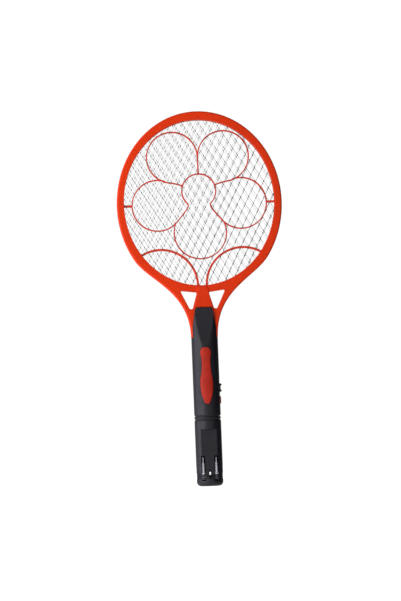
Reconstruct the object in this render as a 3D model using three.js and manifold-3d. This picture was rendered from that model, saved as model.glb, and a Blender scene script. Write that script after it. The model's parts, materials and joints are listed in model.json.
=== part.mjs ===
// Electric fly swatter: an oval three-net head on a straight handle with a folding charging plug.
// Units are millimetres. +Z points to the head, the front faces -Y, +X is to the right.
// Heights are counted from the flat end of the handle; the finished group is then moved so that
// the middle of the hand grip, on the handle's axis, is the origin.

import * as THREE from "three";
import { mergeVertices } from "three/addons/utils/BufferGeometryUtils.js";
import Module from "manifold-3d";

const wasm = await Module();
wasm.setup();

// ---- Driving dimensions ------------------------------------------------------------------

const CLEARANCE = 0.3;
const ROUND_SIDES = 16;

// Head frame
const OVERALL_LENGTH = 515.3;
const HEAD_WIDTH = 227;
const HEAD_HEIGHT = 255.2;
const HEAD_THICKNESS = 15;
const RIM_SIDE = 9.9;
const RIM_TOP = 11.8;
const RIM_BOTTOM = 15.4;
const RIM_EDGE_BEVEL = 1.2;
const FACE_PLATE = 2;
const NET_SEAT = 6;
const SEAT_MARGIN = 0.5;

// Throat, between the head and the handle
const THROAT_ANGLE = THREE.MathUtils.degToRad(36);
const THROAT_LEAD_IN = 35;
const THROAT_CURVE = 65;
const WINDOW_DROP = 9.6;
const WINDOW_HEIGHT = 22.6;
const WINDOW_TOP_WIDTH = 23.2;
const WINDOW_FOOT_WIDTH = 4.4;
const WINDOW_FOOT_SHIFT = 6.6;
const WINDOW_CORNER = 2;
const WINDOW_TOP_RISE = 3;
const TONGUE_TOP_WIDTH = 16;
const TONGUE_RISE = 1.2;
const STEM_WIDTH = 28;
const STEM_LENGTH = 28;
const LEAD_CHANNEL = 3;
const LEAD_CHANNEL_OFFSET = 3;
const TERMINAL_BAY_WIDTH = 11;
const TERMINAL_BAY_HEIGHT = 8;

// Nets and the ribbed spacers between them
const NET_THICKNESS = 0.6;
const NET_BAR = 1;
const NET_SPACING = 38;
const NET_LEAN = THREE.MathUtils.degToRad(29.7);
const NET_BORDER = 2;
const RIB_WIDTH = 2.4;
const BRIDGE_WIDTH = 3;
const PETAL_RADIUS = 35;
const PATTERN_HALF_WIDTH = 102.9;
const PATTERN_HALF_HEIGHT = 114;

// Handle
const HANDLE_LENGTH = 245;
const HANDLE_WIDTH = 36.5;
const HANDLE_DEPTH = 34;
const HANDLE_WALL = 2.2;
const HANDLE_SIDES = 28;
const END_RADIUS = 5;
const GROOVE_HEIGHTS = [91.9, 96.2];
const GROOVE_WIDTH = 2.7;
const GROOVE_DEPTH = 0.8;
const SHOULDER_HEIGHT = 203.7;
const NECK_WIDTH = 24.2;
const NECK_CORNER = 3.5;
const FACET_FOOT = 190.7;
const FACET_TOP_DEPTH = 10.7;
const PANEL_FOOT = 15.7;
const PANEL_HEIGHT = 62;
const PANEL_CUT = 3.5;

// Grip insert
const GRIP_FOOT = 112.6;
const GRIP_LENGTH = 77.4;
const GRIP_TOP_HALF = 7.3;
const GRIP_WAIST_HALF = 5.9;
const GRIP_BELLY_HALF = 8.9;
const GRIP_FOOT_HALF = 5;
const GRIP_RISE = 0.6;
const GRIP_SINK = 1;

// Slide switch and push button, on the right side
const SLIDE_HEIGHT = 134.2;
const SLIDE_LENGTH = 12;
const SLIDE_DEPTH = 5;
const SLIDE_PROUD = 1.2;
const RIDGE_RISE = 1.4;
const RIDGE_WIDTH = 1.9;
const SLIDE_TRAVEL = 4;
const BUTTON_HEIGHT = 117.5;
const BUTTON_LENGTH = 10.5;
const BUTTON_DEPTH = 7;
const BUTTON_PROUD = 1.3;
const BUTTON_TRAVEL = 1.2;
const BUTTON_FLANGE = 1;
const SWITCH_REACH = 3;

// Folding plug
const PIN_SPACING = 17.8;
const PIN_DIAMETER = 3.4;
const PIN_TIP_DIAMETER = 1.8;
const PIN_LENGTH = 20.7;
const PIN_TIP_LENGTH = 7;
const FLANGE_DIAMETER = 4.6;
const FLANGE_LENGTH = 3.2;
const PLUG_AXIS_HEIGHT = 12.6;
const SHAFT_DIAMETER = 4.4;
const SADDLE_WIDTH = 2;
const SADDLE_MARGIN = 2;
const HUB_DIAMETER = 8.4;
const HUB_SEAT = 3.5;
const PLUG_SLOT_WIDTH = 5.4;
const LED_WIDTH = 2.8;
const LED_HEIGHT = 4.9;
const LED_DEPTH = 7;
const LED_FOOT = 15.2;

// Screws
const SCREW_HEIGHTS = [46, 101, 171];
const SCREW_DIAMETER = 2.9;
const SCREW_HEAD_DIAMETER = 5.4;
const SCREW_HEAD_HEIGHT = 2;
const SCREW_LENGTH = 18;
const BOSS_DIAMETER = 6.6;
const THROAT_SCREW_HEIGHT = 226;
const THROAT_SCREW_OFFSET = 8.5;

// Electronics
const BATTERY_WIDTH = 24;
const BATTERY_DEPTH = 17;
const BATTERY_HEIGHT = 44;
const BATTERY_FOOT = 51.5;
const BOARD_WIDTH = 22;
const BOARD_HEIGHT = 60;
const BOARD_FOOT = 106;
const BOARD_THICKNESS = 1.6;
const BOARD_FRONT = 1;
const LEAD_DIAMETER = 1.3;

// ---- Values worked out from them ---------------------------------------------------------

const HEAD_CENTRE = OVERALL_LENGTH - HEAD_HEIGHT / 2;
const OPENING_HALF_WIDTH = HEAD_WIDTH / 2 - RIM_SIDE;
const OPENING_HALF_HEIGHT = (HEAD_HEIGHT - RIM_TOP - RIM_BOTTOM) / 2;
const OPENING_CENTRE = HEAD_CENTRE + (RIM_BOTTOM - RIM_TOP) / 2;
const OPENING_FOOT = OPENING_CENTRE - OPENING_HALF_HEIGHT;
const SEAT_FOOT = OPENING_FOOT - NET_SEAT;
const HALF_THICKNESS = HEAD_THICKNESS / 2;
const POCKET_HALF = HALF_THICKNESS - FACE_PLATE;
const NET_STEP = POCKET_HALF - CLEARANCE - NET_THICKNESS / 2;
const SPACER_THICKNESS = NET_STEP - NET_THICKNESS - 2 * CLEARANCE;
const PATTERN_STRETCH_X = OPENING_HALF_WIDTH / PATTERN_HALF_WIDTH;
const PATTERN_STRETCH_Z = OPENING_HALF_HEIGHT / PATTERN_HALF_HEIGHT;
const GRIP_CENTRE = GRIP_FOOT + GRIP_LENGTH / 2;
const HALF_WIDTH = HANDLE_WIDTH / 2;
const HALF_DEPTH = HANDLE_DEPTH / 2;
const PANEL_Y = -(HALF_DEPTH - PANEL_CUT);
const FACET_SLOPE = (HALF_DEPTH - FACET_TOP_DEPTH) / (HANDLE_LENGTH - FACET_FOOT);
const SHAFT_LENGTH = PIN_SPACING + PLUG_SLOT_WIDTH - 2 * CLEARANCE;
const SHAFT_Y = PANEL_Y + HANDLE_WALL + CLEARANCE + SHAFT_DIAMETER / 2;
const PIN_Y = PANEL_Y + CLEARANCE + FLANGE_DIAMETER / 2;
const PIN_FOOT = PLUG_AXIS_HEIGHT + HUB_SEAT + CLEARANCE;
const PIN_TOP = PIN_FOOT + FLANGE_LENGTH + PIN_LENGTH;
const WINDOW_TOP = OPENING_FOOT - WINDOW_DROP;
const BOARD_BACK = BOARD_FRONT + BOARD_THICKNESS;
const BOARD_TOP = BOARD_FOOT + BOARD_HEIGHT;
const SIDE_INNER = HALF_WIDTH - HANDLE_WALL;
const HOLLOW_HALF_WIDTH = SIDE_INNER - GROOVE_DEPTH / 2;
const HOLLOW_HALF_DEPTH = (HOLLOW_HALF_WIDTH * HALF_DEPTH) / HALF_WIDTH;
const BUTTON_SHARE = BUTTON_DEPTH / 2 / HOLLOW_HALF_DEPTH;
const BUTTON_FLANGE_X = HOLLOW_HALF_WIDTH * Math.sqrt(1 - BUTTON_SHARE ** 2) - CLEARANCE;
const SADDLE_OFFSET = (PIN_SPACING - PLUG_SLOT_WIDTH) / 2 - SADDLE_MARGIN;
const FAR = 400;

// ---- Materials ---------------------------------------------------------------------------

function paint(color, roughness, metalness = 0) {
  return new THREE.MeshStandardMaterial({ color, roughness, metalness });
}

const FRAME_PLASTIC = paint(0xe8401c, 0.4);
const SPACER_PLASTIC = paint(0xc8382a, 0.5);
const HANDLE_PLASTIC = paint(0x36363c, 0.5);
const GRIP_RUBBER = paint(0xc23a2c, 0.6);
const BUTTON_PLASTIC = paint(0xc01830, 0.4);
const KNOB_PLASTIC = paint(0x101012, 0.5);
const NET_STEEL = paint(0xa8a8ac, 0.35, 0.9);
const PIN_METAL = paint(0xb4b4c0, 0.3, 0.9);
const BRASS = paint(0xc8a050, 0.35, 0.9);
const LED_RESIN = paint(0xf4f4f0, 0.2);
const BATTERY_CASE = paint(0xd8d8d4, 0.5);
const BOARD_LAMINATE = paint(0xa8803c, 0.6);
const FERRITE = paint(0x3c3c3e, 0.7);
const COPPER = paint(0xb86c34, 0.4, 0.8);
const FILM_RESIN = paint(0x8c2018, 0.3);
const SAND_RESIN = paint(0xc8b088, 0.6);
const BLACK_EPOXY = paint(0x18181a, 0.5);
const RED_WIRE = paint(0xb02020, 0.5);
const BLACK_WIRE = paint(0x1c1c1e, 0.5);

// ---- Solid helpers -----------------------------------------------------------------------

// A closed geometry as a solid: shared vertices merged, folded triangles at a lathe's axis dropped.
function solidOf(geometry) {
  const plain = geometry.clone();
  plain.deleteAttribute("normal");
  plain.deleteAttribute("uv");
  const merged = mergeVertices(plain, 1e-4);
  const index = merged.index.array;
  const triangles = [];
  for (let i = 0; i < index.length; i += 3) {
    const [a, b, c] = [index[i], index[i + 1], index[i + 2]];
    if (a !== b && b !== c && c !== a) {
      triangles.push(a, b, c);
    }
  }
  const mesh = new wasm.Mesh({
    numProp: 3,
    vertProperties: new Float32Array(merged.attributes.position.array),
    triVerts: new Uint32Array(triangles),
  });
  return new wasm.Manifold(mesh);
}

function geometryOf(solid) {
  const mesh = solid.getMesh();
  const geometry = new THREE.BufferGeometry();
  geometry.setAttribute("position", new THREE.BufferAttribute(mesh.vertProperties, 3));
  geometry.setIndex(new THREE.BufferAttribute(mesh.triVerts, 1));
  geometry.computeVertexNormals();
  return geometry;
}

function joined(solids) {
  return solids.reduce((whole, next) => whole.add(next));
}

// A box given by its lowest and highest corners.
function block(low, high) {
  const size = high.map((value, axis) => value - low[axis]);
  const geometry = new THREE.BoxGeometry(...size);
  geometry.translate(...low.map((value, axis) => value + size[axis] / 2));
  return solidOf(geometry);
}

// A round bar between two points along one axis.
function bar(axis, from, to, at, diameter, sides = ROUND_SIDES, endDiameter = diameter) {
  const geometry = new THREE.CylinderGeometry(endDiameter / 2, diameter / 2, to - from, sides);
  if (axis === "x") {
    geometry.rotateZ(-Math.PI / 2);
    geometry.translate((from + to) / 2, at[0], at[1]);
  } else if (axis === "y") {
    geometry.translate(at[0], (from + to) / 2, at[1]);
  } else {
    geometry.rotateX(Math.PI / 2);
    geometry.translate(at[0], at[1], (from + to) / 2);
  }
  return solidOf(geometry);
}

// A front-view outline given thickness from y = front to y = back.
function plate(shape, front, back, bevel = 0) {
  const geometry = new THREE.ExtrudeGeometry(shape, {
    depth: back - front - 2 * bevel,
    bevelEnabled: bevel > 0,
    bevelThickness: bevel,
    bevelSize: bevel,
    bevelOffset: -bevel,
    bevelSegments: 2,
    curveSegments: 6,
  });
  geometry.rotateX(Math.PI / 2);
  geometry.translate(0, back - bevel, 0);
  return solidOf(geometry);
}

// A profile of [radius, height] pairs turned about the handle's axis, flattened to its depth.
function turned(profile, sides, flattening = 1) {
  const points = profile.map(([radius, height]) => new THREE.Vector2(radius, height));
  const geometry = new THREE.LatheGeometry(points, sides);
  geometry.rotateX(Math.PI / 2);
  geometry.scale(1, flattening, 1);
  return solidOf(geometry);
}

function arcPoints(centre, radii, from, to, steps) {
  const curve = new THREE.EllipseCurve(...centre, ...radii, from, to, to < from);
  return curve.getPoints(steps);
}

function shapeOf(points) {
  return new THREE.Shape(points);
}

function ellipseShape(centre, halfWidth, halfHeight, steps) {
  const points = arcPoints([0, centre], [halfWidth, halfHeight], 0, 2 * Math.PI, steps);
  return shapeOf(points.slice(0, -1));
}

// A polygon with every corner rounded by the same radius.
function roundedPolygon(corners, radius, steps = 3) {
  const points = [];
  corners.forEach((corner, i) => {
    const before = corners[(i + corners.length - 1) % corners.length];
    const after = corners[(i + 1) % corners.length];
    const towardsBefore = before.clone().sub(corner).normalize();
    const towardsAfter = after.clone().sub(corner).normalize();
    const halfAngle = Math.acos(towardsBefore.dot(towardsAfter)) / 2;
    const reach = radius / Math.tan(halfAngle);
    const start = corner.clone().addScaledVector(towardsBefore, reach);
    const end = corner.clone().addScaledVector(towardsAfter, reach);
    points.push(...new THREE.QuadraticBezierCurve(start, corner, end).getPoints(steps));
  });
  return points;
}

// A strip of constant width along a line of points.
function band(points, width) {
  const left = [];
  const right = [];
  points.forEach((point, i) => {
    const before = points[Math.max(i - 1, 0)];
    const after = points[Math.min(i + 1, points.length - 1)];
    const along = after.clone().sub(before).normalize();
    const side = new THREE.Vector2(-along.y, along.x).multiplyScalar(width / 2);
    left.push(point.clone().add(side));
    right.unshift(point.clone().sub(side));
  });
  return shapeOf([...left, ...right]);
}

function mirrored(points) {
  return points.map((point) => new THREE.Vector2(-point.x, point.y));
}

function vector(x, y) {
  return new THREE.Vector2(x, y);
}

// ---- Head frame --------------------------------------------------------------------------

const HEAD_RADII = [HEAD_WIDTH / 2, HEAD_HEIGHT / 2];
const HEAD_STEPS = 72;
const OPENING_STEPS = 60;

// Right-hand throat edge: it leaves the oval along its tangent and ends straight down the handle.
function throatEdge() {
  const [a, b] = HEAD_RADII;
  const start = vector(a * Math.cos(THROAT_ANGLE), HEAD_CENTRE - b * Math.sin(THROAT_ANGLE));
  const tangent = vector(-a * Math.sin(THROAT_ANGLE), -b * Math.cos(THROAT_ANGLE)).normalize();
  const leadIn = start.clone().addScaledVector(tangent, THROAT_LEAD_IN);
  const foot = vector(HALF_WIDTH, SHOULDER_HEIGHT);
  const above = vector(HALF_WIDTH, SHOULDER_HEIGHT + THROAT_CURVE);
  return new THREE.CubicBezierCurve(start, leadIn, above, foot).getPoints(22);
}

function frameOutline() {
  const top = arcPoints([0, HEAD_CENTRE], HEAD_RADII, -THROAT_ANGLE, Math.PI + THROAT_ANGLE, HEAD_STEPS);
  const right = throatEdge();
  const left = mirrored(right);
  const stemFoot = SHOULDER_HEIGHT - STEM_LENGTH;
  const stem = [
    vector(-STEM_WIDTH / 2, SHOULDER_HEIGHT),
    vector(-STEM_WIDTH / 2, stemFoot),
    vector(STEM_WIDTH / 2, stemFoot),
    vector(STEM_WIDTH / 2, SHOULDER_HEIGHT),
  ];
  return [...top, ...left.slice(1), ...stem, ...right.slice(1).reverse()];
}

// Throat window on the right: wide under the oval, narrow at the handle.
function windowCorners() {
  const inner = TONGUE_TOP_WIDTH / 2;
  const foot = WINDOW_TOP - WINDOW_HEIGHT;
  return [
    vector(inner, WINDOW_TOP),
    vector(inner + WINDOW_FOOT_SHIFT, foot),
    vector(inner + WINDOW_FOOT_SHIFT + WINDOW_FOOT_WIDTH, foot),
    vector(inner + WINDOW_TOP_WIDTH, WINDOW_TOP + WINDOW_TOP_RISE),
  ];
}

function frameBody() {
  const shape = shapeOf(frameOutline());
  const opening = ellipseShape(OPENING_CENTRE, OPENING_HALF_WIDTH, OPENING_HALF_HEIGHT, OPENING_STEPS);
  const windowPoints = roundedPolygon(windowCorners(), WINDOW_CORNER);
  shape.holes.push(opening, shapeOf(windowPoints), shapeOf(mirrored(windowPoints)));
  return plate(shape, -HALF_THICKNESS, HALF_THICKNESS, RIM_EDGE_BEVEL);
}

function netPocket() {
  const outline = ellipseShape(
    OPENING_CENTRE,
    OPENING_HALF_WIDTH + NET_SEAT,
    OPENING_HALF_HEIGHT + NET_SEAT,
    OPENING_STEPS,
  );
  return plate(outline, -POCKET_HALF, POCKET_HALF);
}

// Room for the terminals under the nets, and two channels that bring the leads up to them.
function leadRoom() {
  const bay = block(
    [-TERMINAL_BAY_WIDTH / 2, -POCKET_HALF, SEAT_FOOT - TERMINAL_BAY_HEIGHT],
    [TERMINAL_BAY_WIDTH / 2, POCKET_HALF, SEAT_FOOT + 1],
  );
  const channels = [-1, 1].map((side) => {
    const x = side * LEAD_CHANNEL_OFFSET;
    return block(
      [x - LEAD_CHANNEL / 2, -LEAD_CHANNEL / 2, SHOULDER_HEIGHT - STEM_LENGTH - 1],
      [x + LEAD_CHANNEL / 2, LEAD_CHANNEL / 2, SEAT_FOOT],
    );
  });
  return joined([bay, ...channels]);
}

function throatScrewHoles() {
  const diameter = SCREW_DIAMETER + 2 * CLEARANCE;
  return joined(
    [-1, 1].map((side) => {
      return bar("y", -FAR / 2, FAR / 2, [side * THROAT_SCREW_OFFSET, THROAT_SCREW_HEIGHT], diameter);
    }),
  );
}

// Raised tongue on the front, running from the oval down to the handle's top edge.
function tongue() {
  const inner = TONGUE_TOP_WIDTH / 2 - RIM_EDGE_BEVEL;
  const foot = HANDLE_LENGTH + CLEARANCE;
  const footHalf = inner + (WINDOW_FOOT_SHIFT * (WINDOW_TOP - foot)) / WINDOW_HEIGHT;
  const top = OPENING_FOOT - RIM_EDGE_BEVEL - 1;
  const outline = roundedPolygon(
    [vector(-footHalf, foot), vector(footHalf, foot), vector(inner - 1, top), vector(1 - inner, top)],
    WINDOW_CORNER,
  );
  return plate(shapeOf(outline), -HALF_THICKNESS - TONGUE_RISE, -HALF_THICKNESS + 0.5);
}

function headFrameHalves() {
  const hollow = frameBody().subtract(joined([netPocket(), leadRoom(), throatScrewHoles()]));
  const frontSide = block([-FAR, -FAR, -FAR], [FAR, -CLEARANCE / 2, 2 * FAR]);
  const rearSide = block([-FAR, CLEARANCE / 2, -FAR], [FAR, FAR, 2 * FAR]);
  const front = hollow.intersect(frontSide).add(tongue());
  const rear = hollow.intersect(rearSide);
  return { front, rear };
}

// ---- Nets, spacers and terminals ---------------------------------------------------------

// One net: crossing bars inside an oval border that the frame's seat covers.
function net(middle, shift) {
  const reach = NET_SEAT - SEAT_MARGIN;
  const border = ellipseShape(
    OPENING_CENTRE,
    OPENING_HALF_WIDTH + reach,
    OPENING_HALF_HEIGHT + reach,
    OPENING_STEPS,
  );
  const front = middle - NET_THICKNESS / 2;
  const back = middle + NET_THICKNESS / 2;
  const disc = plate(border, front, back);
  const inner = reach - NET_BORDER;
  const hole = ellipseShape(
    OPENING_CENTRE,
    OPENING_HALF_WIDTH + inner,
    OPENING_HALF_HEIGHT + inner,
    OPENING_STEPS,
  );
  const rim = disc.subtract(plate(hole, front - 1, back + 1));
  const count = Math.ceil(HEAD_HEIGHT / 2 / NET_SPACING);
  const wires = [];
  for (const lean of [NET_LEAN, -NET_LEAN]) {
    for (let i = -count; i <= count; i += 1) {
      const geometry = new THREE.BoxGeometry(NET_BAR, NET_THICKNESS, 2 * HEAD_HEIGHT);
      geometry.translate((i + shift) * NET_SPACING, middle, 0);
      geometry.rotateY(lean);
      geometry.translate(0, 0, OPENING_CENTRE);
      wires.push(solidOf(geometry));
    }
  }
  return joined(wires).intersect(disc).add(rim);
}

// Right-hand half of the rib pattern, as lines of points: tangent petals round a double circle.
// Places are counted from the oval's centre and stretched with the opening they are drawn for.
function ribLines() {
  const degrees = THREE.MathUtils.degToRad;
  const at = (x, z) => vector(x * PATTERN_STRETCH_X, HEAD_CENTRE + z * PATTERN_STRETCH_Z);
  const arc = (x, z, radius, from, to, steps) => {
    const centre = at(x, z);
    const radii = [radius * PATTERN_STRETCH_X, radius * PATTERN_STRETCH_Z];
    return arcPoints([centre.x, centre.y], radii, degrees(from), degrees(to), steps);
  };
  const upperPetal = arc(PETAL_RADIUS + 0.2, 65, PETAL_RADIUS, 180, -85, 15);
  const sidePetal = arc(57.5, -0.5, PETAL_RADIUS, 109, -142, 14);
  const lowerPetal = arc(56.5, -112, 50.5, 183, 50, 9);
  const headCircle = arc(0, 18, 23.4, 90, -48, 8);
  const bodyCircle = arc(0, -39.5, 36, 22, -90, 7);
  const waist = [headCircle[headCircle.length - 1], at(16.4, -4), at(20, -11)];
  const petalEnd = sidePetal[sidePetal.length - 1];
  return [
    upperPetal,
    sidePetal,
    lowerPetal,
    headCircle,
    bodyCircle,
    [...waist, petalEnd],
    [upperPetal[upperPetal.length - 1], at(21.6, 25.2)],
  ];
}

function spacer(front) {
  const back = front + SPACER_THICKNESS;
  const reach = NET_SEAT - SEAT_MARGIN;
  const outer = ellipseShape(
    OPENING_CENTRE,
    OPENING_HALF_WIDTH + reach,
    OPENING_HALF_HEIGHT + reach,
    OPENING_STEPS,
  );
  const disc = plate(outer, front, back);
  const inner = ellipseShape(OPENING_CENTRE, OPENING_HALF_WIDTH, OPENING_HALF_HEIGHT, OPENING_STEPS);
  const ring = disc.subtract(plate(inner, front - 1, back + 1));
  const ribs = [];
  for (const line of ribLines()) {
    ribs.push(plate(band(line, RIB_WIDTH), front, back));
    ribs.push(plate(band(mirrored(line), RIB_WIDTH), front, back));
  }
  const stemTop = HEAD_CENTRE + 70 * PATTERN_STRETCH_Z;
  const stem = [vector(0, stemTop), vector(0, stemTop - 30 * PATTERN_STRETCH_Z)];
  ribs.push(plate(band(stem, RIB_WIDTH), front, back));
  for (const side of [-1, 1]) {
    const petalSide = side * 91.5 * PATTERN_STRETCH_X;
    const bridge = [vector(petalSide, HEAD_CENTRE), vector(side * (OPENING_HALF_WIDTH + 1), HEAD_CENTRE)];
    ribs.push(plate(band(bridge, BRIDGE_WIDTH), front, back));
  }
  return joined(ribs).intersect(disc).add(ring);
}

// The outer nets share a C-shaped strip whose two arms reach up past the centre net.
function outerNetTerminal() {
  const x = LEAD_CHANNEL_OFFSET;
  const foot = SEAT_FOOT - TERMINAL_BAY_HEIGHT + CLEARANCE + 1;
  const top = SEAT_FOOT + SEAT_MARGIN - CLEARANCE;
  const back = block([x - 1.2, -POCKET_HALF + 0.3, foot], [x + 1.2, POCKET_HALF - 0.3, foot + 0.8]);
  const arms = [-1, 1].map((side) => {
    const y = side * (POCKET_HALF - 0.7);
    return block([x - 1.2, y - 0.4, foot], [x + 1.2, y + 0.4, top]);
  });
  return joined([back, ...arms]);
}

function centreNetTerminal() {
  const x = -LEAD_CHANNEL_OFFSET;
  const foot = SEAT_FOOT - TERMINAL_BAY_HEIGHT + CLEARANCE + 1;
  return block([x - 1.2, -0.4, foot], [x + 1.2, 0.4, SEAT_FOOT + SEAT_MARGIN - CLEARANCE]);
}

// ---- Handle ------------------------------------------------------------------------------

// Round bar with a rounded end and ring grooves, shrunk by an inset on every side.
function handleBar(inset) {
  const radius = HALF_WIDTH - inset;
  const foot = inset;
  const endRadius = Math.max(END_RADIUS - inset, 0.5);
  const profile = [[0, foot]];
  const middle = [radius - endRadius, foot + endRadius];
  const corner = arcPoints(middle, [endRadius, endRadius], -Math.PI / 2, 0, 4);
  corner.forEach((point) => profile.push([point.x, point.y]));
  for (const height of GROOVE_HEIGHTS) {
    const half = GROOVE_WIDTH / 2;
    profile.push([radius, height - half], [radius - GROOVE_DEPTH, height - half * 0.4]);
    profile.push([radius - GROOVE_DEPTH, height + half * 0.4], [radius, height + half]);
  }
  profile.push([radius, HANDLE_LENGTH + 10], [0, HANDLE_LENGTH + 10]);
  return turned(profile, HANDLE_SIDES, HALF_DEPTH / HALF_WIDTH);
}

// Front view of the handle: straight sides, then a neck that tapers to a rounded top.
function neckPrism(inset) {
  const half = (share) => HALF_WIDTH + share * (NECK_WIDTH / 2 - HALF_WIDTH) - inset;
  const top = HANDLE_LENGTH - inset;
  const neck = HANDLE_LENGTH - SHOULDER_HEIGHT;
  const right = [
    vector(HALF_WIDTH + 5, -5),
    vector(HALF_WIDTH + 5, SHOULDER_HEIGHT + 0.5),
    vector(half(0), SHOULDER_HEIGHT + 0.5),
    vector(half(0.14), SHOULDER_HEIGHT + neck * 0.22),
    vector(half(0.42), SHOULDER_HEIGHT + neck * 0.43),
    vector(half(0.8), SHOULDER_HEIGHT + neck * 0.78),
    vector(half(1), top - NECK_CORNER),
  ];
  const corner = arcPoints(
    [half(1) - NECK_CORNER, top - NECK_CORNER],
    [NECK_CORNER, NECK_CORNER],
    0,
    Math.PI / 2,
    4,
  );
  const side = [...right, ...corner.slice(1)];
  return plate(shapeOf([...side, ...mirrored(side).reverse()]), -FAR / 4, FAR / 4);
}

// Everything behind the sloping facet on the front, and in front of its mirror on the back.
function facetPrism(inset) {
  const depth = (height) => HALF_DEPTH - FACET_SLOPE * (height - FACET_FOOT) - inset;
  const low = -20;
  const high = HANDLE_LENGTH + 20;
  const outline = [
    vector(-depth(low), low),
    vector(depth(low), low),
    vector(depth(high), high),
    vector(-depth(high), high),
  ];
  const geometry = new THREE.ExtrudeGeometry(shapeOf(outline), { depth: FAR, bevelEnabled: false });
  geometry.rotateX(Math.PI / 2);
  geometry.rotateZ(Math.PI / 2);
  geometry.translate(-FAR / 2, 0, 0);
  return solidOf(geometry);
}

function panelCuts(inset) {
  const foot = PANEL_FOOT + inset;
  const top = PANEL_FOOT + PANEL_HEIGHT - inset;
  const front = block([-FAR, -FAR, foot], [FAR, PANEL_Y + inset, top]);
  const rear = block([-FAR, -PANEL_Y - inset, foot], [FAR, FAR, top]);
  return front.add(rear);
}

function handleForm(inset) {
  const form = handleBar(inset).intersect(neckPrism(inset)).intersect(facetPrism(inset));
  return form.subtract(panelCuts(Math.max(inset, 0)));
}

// The hollow inside the shells is a plain bar, so that the walls stay even behind the grooves.
function handleHollow() {
  const radius = HOLLOW_HALF_WIDTH;
  const foot = HANDLE_WALL + 1;
  const top = HANDLE_LENGTH - HANDLE_WALL;
  const profile = [[0, foot], [radius - 3, foot], [radius, foot + 3], [radius, top], [0, top]];
  const form = turned(profile, HANDLE_SIDES, HALF_DEPTH / HALF_WIDTH);
  const shaped = form.intersect(neckPrism(HANDLE_WALL)).intersect(facetPrism(HANDLE_WALL));
  const walls = block(
    [-FAR, PANEL_Y + HANDLE_WALL, PANEL_FOOT - HANDLE_WALL - 10],
    [FAR, -PANEL_Y - HANDLE_WALL, PANEL_FOOT + PANEL_HEIGHT + HANDLE_WALL],
  );
  const above = block([-FAR, -FAR, PANEL_FOOT + PANEL_HEIGHT + HANDLE_WALL - 0.5], [FAR, FAR, 2 * FAR]);
  return shaped.intersect(walls.add(above));
}

// Outline of the grip insert: a bottle shape with a waist, a belly and a pointed round foot.
function gripOutline(margin) {
  const height = (share) => GRIP_FOOT + share * GRIP_LENGTH;
  const stations = [
    [GRIP_FOOT_HALF, 0.075],
    [GRIP_BELLY_HALF * 0.85, 0.18],
    [GRIP_BELLY_HALF, 0.36],
    [GRIP_BELLY_HALF * 0.9, 0.47],
    [GRIP_WAIST_HALF * 1.12, 0.57],
    [GRIP_WAIST_HALF, 0.7],
    [GRIP_WAIST_HALF * 1.04, 0.8],
    [GRIP_TOP_HALF, 0.92],
  ];
  const controls = stations.map(([half, share]) => new THREE.Vector3(half + margin, 0, height(share)));
  const top = new THREE.Vector3(GRIP_TOP_HALF * 0.62, 0, height(1) + margin - 0.7);
  const tip = new THREE.Vector3(0, 0, height(1) + margin);
  const toe = new THREE.Vector3(GRIP_FOOT_HALF * 0.62, 0, height(0) - margin + 1);
  const foot = new THREE.Vector3(0, 0, height(0) - margin);
  const curve = new THREE.CatmullRomCurve3([foot, toe, ...controls, top, tip]);
  const side = curve.getPoints(26).map((point) => vector(point.x, point.z));
  const inner = side.slice(1, -1);
  return [side[0], ...inner, side[side.length - 1], ...mirrored(inner).reverse()];
}

function gripPrism(margin) {
  return plate(shapeOf(gripOutline(margin)), -FAR / 4, -4);
}

function gripInsert() {
  const skin = handleForm(-GRIP_RISE).subtract(handleForm(GRIP_SINK));
  return skin.intersect(gripPrism(0));
}

function gripRecess() {
  return gripPrism(CLEARANCE).subtract(handleForm(GRIP_SINK + CLEARANCE));
}

// Where the frame's throat passes between the shells, and where its stem goes down inside.
function throatSlot() {
  const half = HALF_THICKNESS + CLEARANCE;
  const between = block([-FAR, -half, SHOULDER_HEIGHT - CLEARANCE], [FAR, half, 2 * FAR]);
  const stemHalf = STEM_WIDTH / 2 + CLEARANCE;
  const stemFoot = SHOULDER_HEIGHT - STEM_LENGTH - CLEARANCE;
  return between.add(block([-stemHalf, -half, stemFoot], [stemHalf, half, SHOULDER_HEIGHT + 1]));
}

// A square window that the slide switch's knob runs along, and a round-ended hole for the button.
function sideHoles() {
  const from = SIDE_INNER - 4;
  const to = HALF_WIDTH + 5;
  const slideHalf = SLIDE_DEPTH / 2 + CLEARANCE;
  const slide = block(
    [from, -slideHalf, SLIDE_HEIGHT - SLIDE_LENGTH / 2 - CLEARANCE],
    [to, slideHalf, SLIDE_HEIGHT + SLIDE_LENGTH / 2 + SLIDE_TRAVEL + CLEARANCE],
  );
  const radius = BUTTON_DEPTH / 2 + CLEARANCE;
  const straight = (BUTTON_LENGTH - BUTTON_DEPTH) / 2;
  const middle = block([from, -radius, BUTTON_HEIGHT - straight], [to, radius, BUTTON_HEIGHT + straight]);
  const low = bar("x", from, to, [0, BUTTON_HEIGHT - straight], 2 * radius);
  const high = bar("x", from, to, [0, BUTTON_HEIGHT + straight], 2 * radius);
  return joined([slide, middle, low, high]);
}

// Two slots that the folded pins lie in, and a window for the light.
function plugSlots() {
  const half = PLUG_SLOT_WIDTH / 2;
  const foot = PLUG_AXIS_HEIGHT - HUB_DIAMETER / 2 - 1;
  const slots = [-1, 1].map((side) => {
    const x = (side * PIN_SPACING) / 2;
    return block([x - half, -FAR, foot], [x + half, SHAFT_Y, PIN_TOP + 1.5]);
  });
  const window = block(
    [-LED_WIDTH / 2 - CLEARANCE, -FAR, LED_FOOT - CLEARANCE],
    [LED_WIDTH / 2 + CLEARANCE, PANEL_Y + HANDLE_WALL + 1, LED_FOOT + LED_HEIGHT + CLEARANCE],
  );
  return joined([...slots, window]);
}

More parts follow.
